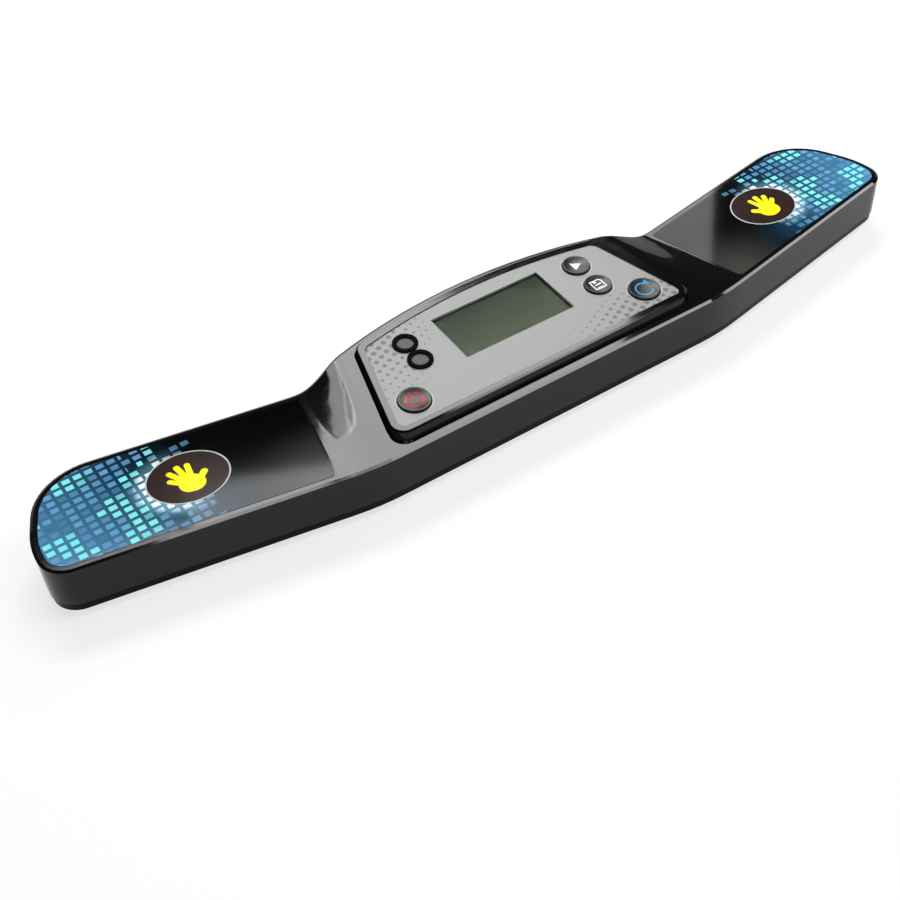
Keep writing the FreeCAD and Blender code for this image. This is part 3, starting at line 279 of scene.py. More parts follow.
# Nickel plate on steel: bright, faintly yellow, with drawing lines 2.5 mm long and 0.2 mm
# apart.
nickel, tree, shader, here = start_material("nickel_plated_steel", Metallic=1.0)
drawn = add(tree, "Mapping", {"Vector": here, "Scale": (400, 6000, 3000)})
lines = mottle(tree, shader, drawn, "#B9B4A8", "#D6D2C8", grains=1.0, detail=3)
gloss = add(tree, "MapRange", {"Value": lines, "To Min": 0.18, "To Max": 0.38})
tree.links.new(gloss.outputs[0], shader.inputs["Roughness"])
dress(nickel, "contact_plates", "contact_springs", "board_screws", "crystal")

# ---------------------------------------------------------------- main board
# A green FR4 board carries the chip under resin, the crystal, the buzzer and the four
# switches. It hangs on screws under the display platform.

# Solder resist over copper tracks: green gloss, lighter where a track runs under it.
solder_resist, tree, shader, here = start_material("green_solder_resist", Roughness=0.3)
# tracks about 0.5 mm wide and 1.4 mm apart
cells = add(tree, "TexVoronoi", {"Vector": here, "Scale": 700}, feature="F1",
            distance="MANHATTAN")
track = add(tree, "MapRange", {"Value": cells.outputs["Distance"], "From Min": 0.55,
                               "From Max": 0.6})
tone = add(tree, "Mix", {0: track, 6: linear("#0F4A2C"), 7: linear("#1C6A40")},
           data_type="RGBA")
tree.links.new(tone.outputs[2], shader.inputs["Base Color"])
bump = add(tree, "Bump", {"Height": track, "Distance": 0.00003})
tree.links.new(bump.outputs[0], shader.inputs["Normal"])
dress(solder_resist, "main_board")


def moulded(name, dark, light, roughness, shine=0.5):
    """Moulded or cast stuff, between a dark and a light tone: plain, with a shallow skin
    texture of about 1.2 mm."""
    material, tree, shader, here = start_material(name, Roughness=roughness,
                                                  Specular_IOR_Level=shine)
    skin = mottle(tree, shader, here, dark, light, grains=800, detail=3)
    bump = add(tree, "Bump", {"Height": skin, "Distance": 0.00002})
    tree.links.new(bump.outputs[0], shader.inputs["Normal"])
    return material


# Black nylon: nearly black, with a soft sheen.
dress(moulded("black_nylon", "#101011", "#1B1B1C", roughness=0.45), "buzzer",
      "tact_switches", "lcd_frame")
# Epoxy resin cap: poured over the chip, so black and wet to the eye.
dress(moulded("epoxy_resin_cap", "#0C0C0D", "#19191A", roughness=0.2), "controller_chip")
# White nylon: the natural colour of the stuff, warm and a little waxy.
dress(moulded("white_nylon", "#D8D6CF", "#ECEAE4", roughness=0.4), "power_plunger",
      "play_plunger", "save_plunger", "reset_plunger")
# Silicone with layers of carbon: dull, clouded from dark to mid grey.
dress(moulded("silicone_zebra", "#24262A", "#9A9CA0", roughness=0.55), "zebra_strips")
# PVC sleeve: dark red and smooth.
dress(moulded("pvc_sleeve", "#5E1414", "#8A2020", roughness=0.4), "left_lead", "right_lead")

# ---------------------------------------------------------------- sensors
# Thin copper touch plates are glued under the two pads. They feel the hands through the
# plastic, and a lead joins each of them to the board.

# Rolled copper foil: warm, with darker tarnish clouds of about 8 mm.
copper, tree, shader, here = start_material("rolled_copper_foil", Metallic=1.0, Roughness=0.3)
mottle(tree, shader, here, "#8C4A2C", "#D98A5C", grains=120, detail=5)
dress(copper, "left_sensor", "right_sensor")

# ---------------------------------------------------------------- upper shell
# The sculpted top half: two low wings, S-shaped ramps and a raised deck, moulded in one
# piece of the same gloss black ABS as the bottom half.

# Polished black ABS: a clear dark mirror all over, with no spark texture at any height.
no_satin = -0.01
dress(piano_black("polished_black_abs", "#050506", satin_below=no_satin, shine=0.235),
      "upper_shell")

# ---------------------------------------------------------------- touch pads
# Reverse-printed polycarbonate sheets lie in the recess of each wing. The print is a mosaic
# of small cells round a dark hand disc; it thins out towards the middle of the timer.

millimetre = 0.001
# centre of the right disc in metres, half its length and width in millimetres, its turn
disc_x, disc_y = 0.1013, 0.0023
disc_half_x, disc_half_y = 11.1, 9.5
disc_turn = radians(10.5)
# pitch of the cells along and across the wing, in millimetres
cell_pitch_x, cell_pitch_y = 3.15, 2.75

# Printed polycarbonate: inks seen through a clear film, so even and slightly glossy.
pad_print, tree, shader, here = start_material("reverse_printed_polycarbonate", IOR=1.58,
                                               Roughness=0.06, Specular_IOR_Level=0.08)
# millimetres from the middle line and from the row of the disc centres
millimetres = add(tree, "Mapping", {"Vector": here, "Location": (0, disc_y, 0),
                                    "Scale": (millimetre,) * 3}, vector_type="TEXTURE")
spot = add(tree, "SeparateXYZ", {0: millimetres})
outward = add(tree, "Math", {0: spot.outputs["X"]}, operation="ABSOLUTE")
outward = add(tree, "Math", {0: outward, 1: disc_x * 1000}, operation="SUBTRACT")
column = add(tree, "Math", {0: outward, 1: cell_pitch_x}, operation="DIVIDE")
row = add(tree, "Math", {0: spot.outputs["Y"], 1: cell_pitch_y}, operation="DIVIDE")
column_number = add(tree, "Math", {0: column}, operation="FLOOR")
row_number = add(tree, "Math", {0: row}, operation="FLOOR")
cell = add(tree, "CombineXYZ", {0: column_number, 1: row_number})
# a cell is two thirds of the pitch, with soft printed edges
across = add(tree, "Math", {0: column, 1: 0.5}, operation="PINGPONG")
along = add(tree, "Math", {0: row, 1: 0.5}, operation="PINGPONG")
across = add(tree, "MapRange", {"Value": across, "From Min": 0.13, "From Max": 0.19})
along = add(tree, "MapRange", {"Value": along, "From Min": 0.15, "From Max": 0.22})
inside = add(tree, "Math", {0: across, 1: along}, operation="MULTIPLY")
# distance from the disc centre, 1 at its edge
reach = add(tree, "CombineXYZ", {0: outward, 1: spot.outputs["Y"]})
reach = add(tree, "Mapping", {"Vector": reach, "Rotation": (0, 0, disc_turn),
                              "Scale": (disc_half_x, disc_half_y, 1)}, vector_type="TEXTURE")
reach = add(tree, "VectorMath", {0: reach}, operation="LENGTH")
# ground: black towards the middle of the timer, steel blue at the wing end
ground_run = add(tree, "MapRange", {"Value": outward, "From Min": -16, "From Max": 38})
# the blue is clouded over about 6 mm
cloud = add(tree, "TexNoise", {"Vector": millimetres, "Scale": 0.16, "Detail": 3})
ground_run = add(tree, "MixRGB", {0: 0.12, 1: ground_run, 2: cloud.outputs["Fac"]})
front_lift = add(tree, "MapRange", {"Value": spot.outputs["Y"], "From Min": 14,
                                    "From Max": -14, "To Min": -0.16, "To Max": 0.1})
ground_run = add(tree, "Math", {0: ground_run, 1: front_lift}, operation="ADD", use_clamp=True)
ground = add(tree, "ValToRGB", {0: ground_run})
ground_stops = ((0.0, "#020202"), (0.14, "#040506"), (0.28, "#0A1D28"),
                (0.45, "#17384C"), (0.62, "#2E5870"), (0.80, "#3C6F8F"), (1.0, "#4B81A9"))
ground.color_ramp.elements[0].color = linear(ground_stops[0][1])
ground.color_ramp.elements[1].color = linear(ground_stops[-1][1])
for position, tone in ground_stops[1:-1]:
    ground.color_ramp.elements.new(position).color = linear(tone)
# glow round the outer side of the disc
near = add(tree, "MapRange", {"Value": reach.outputs["Value"], "From Min": 1.6,
                              "From Max": 1.0}, interpolation_type="SMOOTHERSTEP")
outer_side = add(tree, "MapRange", {"Value": outward, "From Min": -4,
                                    "From Max": 9}, interpolation_type="SMOOTHSTEP")
front_side = add(tree, "MapRange", {"Value": spot.outputs["Y"], "From Min": 12,
                                    "From Max": -8, "To Min": 0.25, "To Max": 1.0})
glow = add(tree, "Math", {0: near, 1: outer_side}, operation="MULTIPLY")
glow = add(tree, "Math", {0: glow, 1: front_side}, operation="MULTIPLY")
lit_ground = add(tree, "Mix", {0: glow, 6: ground, 7: linear("#6CA2BB")}, data_type="RGBA")
# each cell picks its ink: bands of aqua cells among mid blue ones, white by the disc
chance = add(tree, "TexWhiteNoise", {"Vector": cell}, noise_dimensions="3D")
drift = add(tree, "TexNoise", {"Vector": cell, "Scale": 0.27, "Detail": 1})
aqua = add(tree, "MapRange", {"Value": drift.outputs["Fac"], "From Min": 0.53,
                              "From Max": 0.57})
blue = add(tree, "Mix", {0: chance.outputs["Value"], 6: linear("#3E6E8C"),
                         7: linear("#65A0D0")}, data_type="RGBA")
ink = add(tree, "Mix", {0: aqua, 6: blue.outputs[2], 7: linear("#7EE4E6")}, data_type="RGBA")
white_near = add(tree, "MapRange", {"Value": reach.outputs["Value"], "From Min": 1.34,
                                    "From Max": 1.12})
white_near = add(tree, "Math", {0: white_near, 1: outer_side}, operation="MULTIPLY")
ink = add(tree, "Mix", {0: white_near, 6: ink.outputs[2], 7: linear("#F2FCFC")},
          data_type="RGBA")
# cells are rarer and fainter towards the middle of the timer
odds = add(tree, "MapRange", {"Value": outward, "From Min": -14, "From Max": 14,
                              "To Min": -0.2, "To Max": 1.05})
printed = add(tree, "Math", {0: odds, 1: chance.outputs["Value"]}, operation="GREATER_THAN")
strength = add(tree, "MapRange", {"Value": outward, "From Min": -16,
                                  "From Max": 6, "To Min": 0.12, "To Max": 1.0})
strength = add(tree, "Math", {0: strength, 1: printed}, operation="MULTIPLY")
strength = add(tree, "Math", {0: strength, 1: inside}, operation="MULTIPLY")
# painted sheen: the inner front corner fades from black to grey, in place of a softbox's
# reflection
sheen_inner = add(tree, "MapRange", {"Value": outward, "From Min": -8, "From Max": -26})
sheen_front = add(tree, "MapRange", {"Value": spot.outputs["Y"], "From Min": 2,
                                    "From Max": -24}, interpolation_type="SMOOTHSTEP")
grey = add(tree, "Math", {0: sheen_inner, 1: sheen_front}, operation="MULTIPLY")
painted_sheen = add(tree, "Mix", {0: grey, 6: lit_ground.outputs[2], 7: linear("#403E3B")},
             data_type="RGBA")
picture = add(tree, "Mix", {0: strength, 6: painted_sheen.outputs[2],
                            7: ink.outputs[2]}, data_type="RGBA")
tree.links.new(picture.outputs[2], shader.inputs["Base Color"])
dress(pad_print, "left_pad", "right_pad")

# ---------------------------------------------------------------- hand signs
# Each pad has a dark oval with a pale rim, where the palm rests, and an open hand in warm
# yellow. All three are screen-printed layers, a few hundredths of a millimetre thick.


def ink_layer(name, dark, light):
    """Screen-printed ink: even and flat, with very slight clouds of about 2 mm."""
    material, tree, shader, here = start_material(name, Roughness=0.12,
                                                  Specular_IOR_Level=0.06)
    mottle(tree, shader, here, dark, light, grains=500, detail=4)
    return material


# Dark brown, pale grey and warm yellow screen inks: the disc all but black, the rim a thin
# pale line, the hand the brightest thing on the timer.
disc_ink = ink_layer("dark_brown_ink", "#2A1E1C", "#332624")
rim_ink = ink_layer("pale_grey_ink", "#B4B9BC", "#C6CACC")
hand_ink = ink_layer("warm_yellow_ink", "#F6EA18", "#FCF228")
pad_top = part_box("left_pad")[1].z
# thickness of one layer of ink, in metres
layer = 0.00003


def pick(*pieces):
    """Selects these pieces and nothing else. The first one becomes the active one."""
    bpy.ops.object.select_all(action="DESELECT")
    for piece in pieces:
        piece.select_set(True)
    bpy.context.view_layer.objects.active = pieces[0]


def twin(piece):
    """A copy of a piece, with a mesh of its own."""
    other = piece.copy()
    other.data = piece.data.copy()
    bpy.context.scene.collection.objects.link(other)
    return other


def settle(piece, name, material, body):
    """Puts a finished piece's place into its mesh, and gives it its name, its material, its
    slot and the body that it rides on."""
    pick(piece)
    bpy.ops.object.transform_apply(location=True, rotation=True, scale=True)
    piece.name = name
    piece.data.name = name
    piece.data.materials.clear()
    piece.data.materials.append(material)
    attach(piece, body)


def turn_out(piece):
    """Merges the doubles of a piece and makes its faces point outwards."""
    same_place = 1e-7
    pick(piece)
    bpy.ops.object.mode_set(mode="EDIT")
    bpy.ops.mesh.select_all(action="SELECT")
    bpy.ops.mesh.remove_doubles(threshold=same_place)
    bpy.ops.mesh.normals_make_consistent(inside=False)
    bpy.ops.object.mode_set(mode="OBJECT")


def rounded_bar(root, tip, width, height):
    """A flat bar with full round ends round root and tip, in millimetres. It starts as a round
    block, whose one half then moves out to the tip."""
    bar_sides = 32
    run = Vector(tip) - Vector(root)
    bpy.ops.object.select_all(action="DESELECT")
    bpy.ops.mesh.primitive_cylinder_add(vertices=bar_sides, radius=0.5, depth=1,
                                        location=(0, 0, 0))
    bar = bpy.context.object
    bpy.ops.object.mode_set(mode="EDIT")
    bpy.ops.transform.translate(value=(0, 0, 0.5))
    bpy.ops.transform.resize(value=(width, width, height), center_override=(0, 0, 0))
    bpy.ops.mesh.select_all(action="DESELECT")
    bpy.ops.object.mode_set(mode="OBJECT")
    for corner in bar.data.vertices:
        corner.select = corner.co.x > 0
    bpy.ops.object.mode_set(mode="EDIT")
    bpy.ops.transform.translate(value=(run.length, 0, 0))
    bpy.ops.object.mode_set(mode="OBJECT")
    bar.location = (root[0], root[1], 0)
    bar.rotation_euler = (0, 0, atan2(run.y, run.x))
    bpy.ops.object.transform_apply(location=True, rotation=True, scale=True)
    return bar


# bars of the right-hand sign: centres of the round ends from the middle of the disc, width
hand_bars = (
    ((0.9, -3.0), (4.7, 1.0), 1.65),
    ((0.9, -2.0), (3.7, 3.7), 1.7),
    ((0.3, -2.0), (1.1, 4.8), 1.75),
    ((-0.5, -2.0), (-1.6, 4.1), 1.7),
    ((-0.6, -3.9), (-4.4, -0.6), 2.0),
    ((-0.4, -2.9), (0.5, -2.7), 6.3),
    ((-1.0, -1.5), (1.6, -1.3), 3.4),
)
# each bar is a little thicker than the one before, so no two tops share a plane
thicker = 0.05
bars = [rounded_bar(root, tip, width, layer * 1000 * (1 + thicker * number))
        for number, (root, tip, width) in enumerate(hand_bars)]
hand = bars[0]
pick(*bars)
bpy.ops.object.join()

oval_sides = 96
# width of the disc's flat edge and half the width of the pale rim, as shares of the disc
edge_width, rim_width = 0.02, 0.019
# how far the rim stands out of its middle line, in layers
rim_height = 1.2
for side, mirror in (("left", -1), ("right", 1)):
    bpy.ops.object.select_all(action="DESELECT")
    bpy.ops.mesh.primitive_cylinder_add(vertices=oval_sides, radius=1, depth=1,
                                        location=(0, 0, 0.5), end_fill_type="NGON")
    disc = bpy.context.object
    disc.scale = (disc_half_x / 1000, disc_half_y / 1000, layer)
    disc.rotation_euler = (0, 0, mirror * disc_turn)
    disc.location = (mirror * disc_x, disc_y, pad_top + layer / 2)
    bpy.ops.object.mode_set(mode="EDIT")
    bpy.ops.mesh.select_all(action="DESELECT")
    bpy.ops.object.mode_set(mode="OBJECT")
    # the flat top and bottom
    for face in disc.data.polygons:
        face.select = abs(face.normal.z) > 0.9
    bpy.ops.object.mode_set(mode="EDIT")
    bpy.ops.mesh.inset(thickness=edge_width, depth=0)
    bpy.ops.object.mode_set(mode="OBJECT")
    settle(disc, side + "_hand_disc", disc_ink, "case")

    bpy.ops.object.select_all(action="DESELECT")
    bpy.ops.mesh.primitive_torus_add(major_segments=oval_sides, minor_segments=4,
                                     major_radius=1, minor_radius=rim_width,
                                     location=(0, 0, 0))
    rim = bpy.context.object
    rim.scale = (disc_half_x / 1000, disc_half_y / 1000, layer * rim_height / rim_width)
    rim.rotation_euler = (0, 0, mirror * disc_turn)
    rim.location = (mirror * disc_x, disc_y, pad_top + layer)
    settle(rim, side + "_hand_rim", rim_ink, "case")

    palm = twin(hand)
    palm.scale = (mirror * millimetre, millimetre, millimetre)
    palm.location = (mirror * disc_x, disc_y, pad_top + layer)
    settle(palm, side + "_hand_sign", hand_ink, "case")
    turn_out(palm)
bpy.data.objects.remove(hand)

# ---------------------------------------------------------------- display stack
# The blank display glass sits in its frame on the board, on two rubber connector strips,
# under the clear window.

# the panel leans back by this, and passes over the middle of the timer here, in metres
tilt = radians(4.95)
deck_origin = Vector((0, 0, 0.02164))
# turns a place on the timer into millimetres on the leaning panel
on_panel = {"Location": deck_origin, "Rotation": (tilt, 0, 0), "Scale": (millimetre,) * 3}

# Display glass with polariser: dull grey-green, softly clouded, with painted shade towards the
# back.
display_glass, tree, shader, here = start_material("polarised_display_glass",
                                                   Roughness=0.35, Specular_IOR_Level=0.05)
face = add(tree, "Mapping", {"Vector": here, **on_panel}, vector_type="TEXTURE")
spot = add(tree, "SeparateXYZ", {0: face})
# clouds of about 10 mm, and painted shade of the window's recess that lifts slowly from the
# back edge to the middle
cloud = add(tree, "TexNoise", {"Vector": face, "Scale": 0.1, "Detail": 2})
cloud = add(tree, "MapRange", {"Value": cloud.outputs["Fac"], "To Min": -0.06, "To Max": 0.06})
shade = add(tree, "MapRange", {"Value": spot.outputs["Y"], "From Min": 12.5, "From Max": -4})
shade = add(tree, "Math", {0: shade, 1: cloud}, operation="ADD", use_clamp=True)
tone = add(tree, "Mix", {0: shade, 6: linear("#151A13"), 7: linear("#2E3628")},
           data_type="RGBA")
tree.links.new(tone.outputs[2], shader.inputs["Base Color"])
dress(display_glass, "lcd_glass")

# ---------------------------------------------------------------- state lamps
# Two lamps show red and green when lit. Unlit, each is a milky grey lens in a thick black
# ring, over a small epoxy diode on the board.

# Milky polycarbonate: an even, soft, warm grey with clouds of about 1.5 mm.
milky_lens, tree, shader, here = start_material("milky_grey_polycarbonate", Roughness=0.35,
                                                Specular_IOR_Level=0.12)
mottle(tree, shader, here, "#4C4948", "#565352", grains=700, detail=3)
dress(milky_lens, "lamp_lenses")
# Water clear epoxy: pale and glossy.
dress(moulded("water_clear_epoxy", "#C9CDCB", "#E2E6E4", roughness=0.12), "lamp_leds")
# Soft black rubber: the deepest black on the timer, with hardly any sheen.
dress(moulded("soft_black_rubber", "#030303", "#070707", roughness=0.6, shine=0.02),
      "lamp_rings")

# ---------------------------------------------------------------- bezel
# A raised platform of gloss black ABS clips into the deck and frames the panel. Its foot is
# wider than its top.

# Deep gloss black ABS: as the case, a shade darker.
dress(piano_black("deep_gloss_black_abs", "#040405", satin_below=no_satin, shine=0.235),
      "bezel")

# ---------------------------------------------------------------- face panel
# A thin polycarbonate panel with silver ink. Two corners carry a halftone of grey dots, and
# a fine pale line runs round each key.

# pitch of the dots in millimetres, and the turn of their rows
dot_pitch, dot_turn = 2.6, radians(26)
# how far the pale line lies outside a key, from its inner to its outer edge, in millimetres
line_inner, line_outer = 0.35, 0.65
# centre of each key on the panel, and its radius, in millimetres
key_spots = {"power": (-40, -12.03, 4.75), "reset": (40, -12.03, 4.75),
             "play": (30.15, 7.67, 4.2), "save": (30.15, -2.83, 4.2)}

# Silver screen ink: satin grey with a metal grain, too fine to see and drawn at 0.1 mm.
silver_ink, tree, shader, here = start_material("silver_screen_ink", Roughness=0.42,
                                                Metallic=0.08, Specular_IOR_Level=0.2)
face = add(tree, "Mapping", {"Vector": here, **on_panel}, vector_type="TEXTURE")
spot = add(tree, "SeparateXYZ", {0: face})
# distance in millimetres to the nearest dot of the turned square lattice
lattice = add(tree, "Mapping", {"Vector": face, "Rotation": (0, 0, dot_turn)},
              vector_type="TEXTURE")
lattice = add(tree, "SeparateXYZ", {0: lattice})
across = add(tree, "Math", {0: lattice.outputs["X"], 1: dot_pitch / 2}, operation="PINGPONG")
along = add(tree, "Math", {0: lattice.outputs["Y"], 1: dot_pitch / 2}, operation="PINGPONG")
nearest = add(tree, "CombineXYZ", {0: across, 1: along})
nearest = add(tree, "VectorMath", {0: nearest}, operation="LENGTH")
# dots swell towards the left side and the front right corner
left_swell = add(tree, "MapRange", {"Value": spot.outputs["X"], "From Min": -15,
                                    "From Max": -35, "To Min": 0.05, "To Max": 0.85})
left_drop = add(tree, "MapRange", {"Value": spot.outputs["Y"], "From Min": -11,
                                   "From Max": 9, "To Min": -0.75, "To Max": 0.0})
left_dots = add(tree, "Math", {0: left_swell, 1: left_drop}, operation="ADD")
right_swell = add(tree, "MapRange", {"Value": spot.outputs["X"], "From Min": 5,
                                     "From Max": 30, "To Min": 0.0, "To Max": 0.82})
right_drop = add(tree, "MapRange", {"Value": spot.outputs["Y"], "From Min": -5,
                                    "From Max": -15, "To Min": -0.85, "To Max": 0.0})
right_dots = add(tree, "Math", {0: right_swell, 1: right_drop}, operation="ADD")
size = add(tree, "Math", {0: left_dots, 1: right_dots}, operation="MAXIMUM")
over = add(tree, "Math", {0: size, 1: nearest.outputs["Value"]}, operation="SUBTRACT")
dots = add(tree, "MapRange", {"Value": over, "From Min": -0.12, "From Max": 0.12})
grain = add(tree, "TexNoise", {"Vector": face, "Scale": 9, "Detail": 2})
silver = add(tree, "Mix", {0: grain.outputs["Fac"], 6: linear("#8B8B8B"),
                           7: linear("#939393")}, data_type="RGBA")
halftone = add(tree, "Mix", {0: dots, 6: silver.outputs[2], 7: linear("#666665")},
               data_type="RGBA")
# pale lines round the keys, brightest of the four at each place
line = None
for key_x, key_y, radius in key_spots.values():
    away = add(tree, "VectorMath", {0: face, 1: (key_x, key_y, 0)}, operation="SUBTRACT")
    away = add(tree, "Mapping", {"Vector": away, "Scale": (1, 1, 0)})
    away = add(tree, "VectorMath", {0: away}, operation="LENGTH")
    ring = add(tree, "MapRange", {"Value": away.outputs["Value"],
                                  "From Min": radius + line_outer,
                                  "From Max": radius + line_inner})
    if line:
        ring = add(tree, "Math", {0: ring, 1: line}, operation="MAXIMUM")
    line = ring
face_tone = add(tree, "Mix", {0: line, 6: halftone.outputs[2],
                              7: linear("#B0B1AF")}, data_type="RGBA")
tree.links.new(face_tone.outputs[2], shader.inputs["Base Color"])
bump = add(tree, "Bump", {"Height": grain.outputs["Fac"], "Distance": 0.000004})
tree.links.new(bump.outputs[0], shader.inputs["Normal"])
dress(silver_ink, "face_panel")

# ---------------------------------------------------------------- window
# A flat clear polycarbonate plate, glued into the panel over the display. It keeps dust and
# fingers off the glass.

# Clear polycarbonate with an anti-glare hard coat: almost invisible, with a faint green tint
# in clouds of 5 mm. The coat takes nearly all the reflection away, so the IOR is set low.
clear_plate, tree, shader, here = start_material("hard_coated_polycarbonate", IOR=1.03,
                                                 Roughness=0.03, Transmission_Weight=1.0,
                                                 Specular_IOR_Level=0.5)
mottle(tree, shader, here, "#F0F4EE", "#FAFCF8", grains=200, detail=2)
dress(clear_plate, "lcd_window")
# so thin and clear a plate throws no shadow on the glass
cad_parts["lcd_window"].visible_shadow = False

# ---------------------------------------------------------------- keys and their signs
# Four round keys with dished tops, moulded in smoked ABS. Their signs are printed: a red
# power sign, a white triangle, a white disk and a blue round arrow.

key_sides = 96
# level of the key's foot under the panel's plane, thickness of its flange and level of its
# top, in millimetres
key_foot, key_flange, key_top = -3.3, 0.7, 0.4
# how far the flange stands out from the wall
key_ledge = 0.6
# the rolled edge of the top, as steps inwards and upwards, and the sum of either
edge_steps = ((0.02, 0.12), (0.06, 0.10), (0.10, 0.06), (0.12, 0.02))
edge_roll = 0.3
# the dish sinks in this many rings, to this depth in millimetres
dish_rings, dish_depth = 9, 0.45
smooth_below = radians(35)

# Smoked black ABS: brown-black with clouds of a millimetre, softly shining, so the dish
# shows from its shading.
smoked_black, tree, shader, here = start_material("smoked_black_abs",
                                                  Specular_IOR_Level=0.28)
cloud = mottle(tree, shader, here, "#120E0C", "#181412", grains=900, detail=3)
gloss = add(tree, "MapRange", {"Value": cloud, "To Min": 0.24, "To Max": 0.34})
tree.links.new(gloss.outputs[0], shader.inputs["Roughness"])

keys = {}
for name, (x, y, radius) in key_spots.items():
    bpy.ops.object.select_all(action="DESELECT")
    bpy.ops.mesh.primitive_circle_add(vertices=key_sides, radius=radius + key_ledge,
                                      fill_type="NGON", location=(0, 0, 0))
    key = bpy.context.object
    bpy.ops.object.mode_set(mode="EDIT")
    bpy.ops.transform.translate(value=(0, 0, key_foot))
    bpy.ops.mesh.extrude_region_move(TRANSFORM_OT_translate={"value": (0, 0, key_flange)})
    bpy.ops.mesh.inset(thickness=key_ledge, depth=0)
    wall = key_top - edge_roll - key_foot - key_flange
    bpy.ops.mesh.extrude_region_move(TRANSFORM_OT_translate={"value": (0, 0, wall)})
    for inwards, upwards in edge_steps:
        bpy.ops.mesh.inset(thickness=inwards, depth=upwards)
    # the last ring leaves room for a small flat in the middle
    step = (radius - edge_roll) / (dish_rings + 1)
    for number in range(dish_rings):
        share = 1 - (number + 0.5) / (dish_rings + 1)
        bpy.ops.mesh.inset(thickness=step, depth=-2 * dish_depth * share / (dish_rings + 1))
    bpy.ops.object.mode_set(mode="OBJECT")
    key.scale = (millimetre,) * 3
    key.rotation_euler = (tilt, 0, 0)
    key.location = deck_origin + Vector((x, y * cos(tilt), y * sin(tilt))) / 1000
    settle(key, name + "_key_cap", smoked_black, name + "_key")
    turn_out(key)
    bpy.ops.object.shade_smooth_by_angle(angle=smooth_below)
    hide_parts(name + "_button")
    keys[name] = key


def ink_band(outer, inner, gap_start, gap_end):
    """A flat ring of ink, in millimetres, with a gap between two angles in degrees."""
    band_sides = 72
    bpy.ops.object.select_all(action="DESELECT")
    bpy.ops.mesh.primitive_circle_add(vertices=band_sides, radius=outer, location=(0, 0, 0))
    band = bpy.context.object
    bpy.ops.object.mode_set(mode="EDIT")
    bpy.ops.mesh.select_all(action="SELECT")
    bpy.ops.mesh.extrude_region_move()
    bpy.ops.transform.resize(value=(inner / outer,) * 3, center_override=(0, 0, 0))
    bpy.ops.mesh.select_all(action="DESELECT")
    bpy.ops.object.mode_set(mode="OBJECT")
    for polygon in band.data.polygons:
        angle = Vector((1, 0)).angle_signed(polygon.center.xy) * -180 / pi
        polygon.select = gap_start < angle < gap_end
    bpy.ops.object.mode_set(mode="EDIT")
    bpy.ops.mesh.delete(type="FACE")
    bpy.ops.object.mode_set(mode="OBJECT")
    return band


def ink_patch(corners):
    """A flat patch of ink through these corners, in millimetres, cut fine enough to follow
    the dish of a key."""
    patch_cuts = 5
    bpy.ops.object.select_all(action="DESELECT")
    bpy.ops.mesh.primitive_circle_add(vertices=len(corners), radius=1, fill_type="NGON")
    patch = bpy.context.object
    for vertex, corner in zip(patch.data.vertices, corners):
        vertex.co = (corner[0], corner[1], 0)
    bpy.ops.object.mode_set(mode="EDIT")
    bpy.ops.mesh.select_all(action="SELECT")
    bpy.ops.mesh.quads_convert_to_tris(ngon_method="BEAUTY")
    bpy.ops.mesh.subdivide(number_cuts=patch_cuts)
    bpy.ops.object.mode_set(mode="OBJECT")
    return patch


# gap between the key and its ink, and thickness of the ink, in metres
ink_gap, ink_skin = 0.00003, 0.00002


def print_sign(key, material, *patches):
    """Joins the patches of a key's sign, lays them on its dish and gives them a skin."""
    pick(*patches)
    if len(patches) > 1:
        bpy.ops.object.join()
    sign = bpy.context.object
    sign.scale = (millimetre,) * 3
    sign.rotation_euler = (tilt, 0, 0)
    # it starts a millimetre above the panel and comes down on the dish
    x, y, _ = key_spots[key]
    above = Vector((0, -sin(tilt), cos(tilt)))
    along = Vector((0, cos(tilt), sin(tilt)))
    sign.location = deck_origin + (Vector((x, 0, 0)) + along * y + above) / 1000
    bpy.context.view_layer.update()
    laid = sign.modifiers.new("lay_on_key", "SHRINKWRAP")
    laid.target = keys[key]
    laid.wrap_method = "PROJECT"
    laid.use_project_z = True
    laid.use_negative_direction = True
    laid.use_positive_direction = False
    laid.offset = ink_gap
    bpy.ops.object.modifier_apply(modifier="lay_on_key")
    bpy.ops.object.transform_apply(location=True, rotation=True, scale=True)
    skin = sign.modifiers.new("ink_skin", "SOLIDIFY")
    skin.thickness = ink_skin
    skin.offset = 1
    bpy.ops.object.modifier_apply(modifier="ink_skin")
    settle(sign, key + "_sign", material, key + "_key")


# Red, white and sky blue screen inks: even and opaque on the dark keys.
red_ink = ink_layer("red_ink", "#C81E32", "#DC2A40")
white_ink = ink_layer("white_ink", "#E6E6E6", "#F2F2F2")
sky_blue_ink = ink_layer("sky_blue_ink", "#2C9CCB", "#3AABDA")

# corners of the flat patches from the middle of their key, in millimetres
power_stroke = ((-0.27, 0.4), (0.27, 0.4), (0.27, 2.95), (-0.27, 2.95))
play_triangle = ((-1.25, -1.75), (1.75, 0), (-1.25, 1.75))
arrow_head = ((0.75, 2.0), (2.75, 1.0), (2.45, 3.1))
# the outline of the disk from its left side round to its top, then its label and its slide
disk_lines = (
    ((-2.0, -2.0), (-1.6, -1.6), (-1.6, 2.0), (-2.0, 2.0)),
    ((-2.0, -2.0), (2.0, -2.0), (1.6, -1.6), (-1.6, -1.6)),
    ((2.0, -2.0), (2.0, 1.3), (1.6, 1.3), (1.6, -1.6)),
    ((2.0, 1.3), (1.3, 2.0), (1.1, 1.65), (1.6, 1.15)),
    ((-2.0, 2.0), (-1.6, 1.6), (1.2, 1.6), (1.3, 2.0)),
    ((-1.1, -1.6), (1.1, -1.6), (1.1, -1.2), (-1.1, -1.2)),
    ((-1.1, -0.1), (1.1, -0.1), (1.1, 0.3), (-1.1, 0.3)),
    ((-0.9, 0.9), (0.1, 0.9), (0.1, 1.6), (-0.9, 1.6)),
)

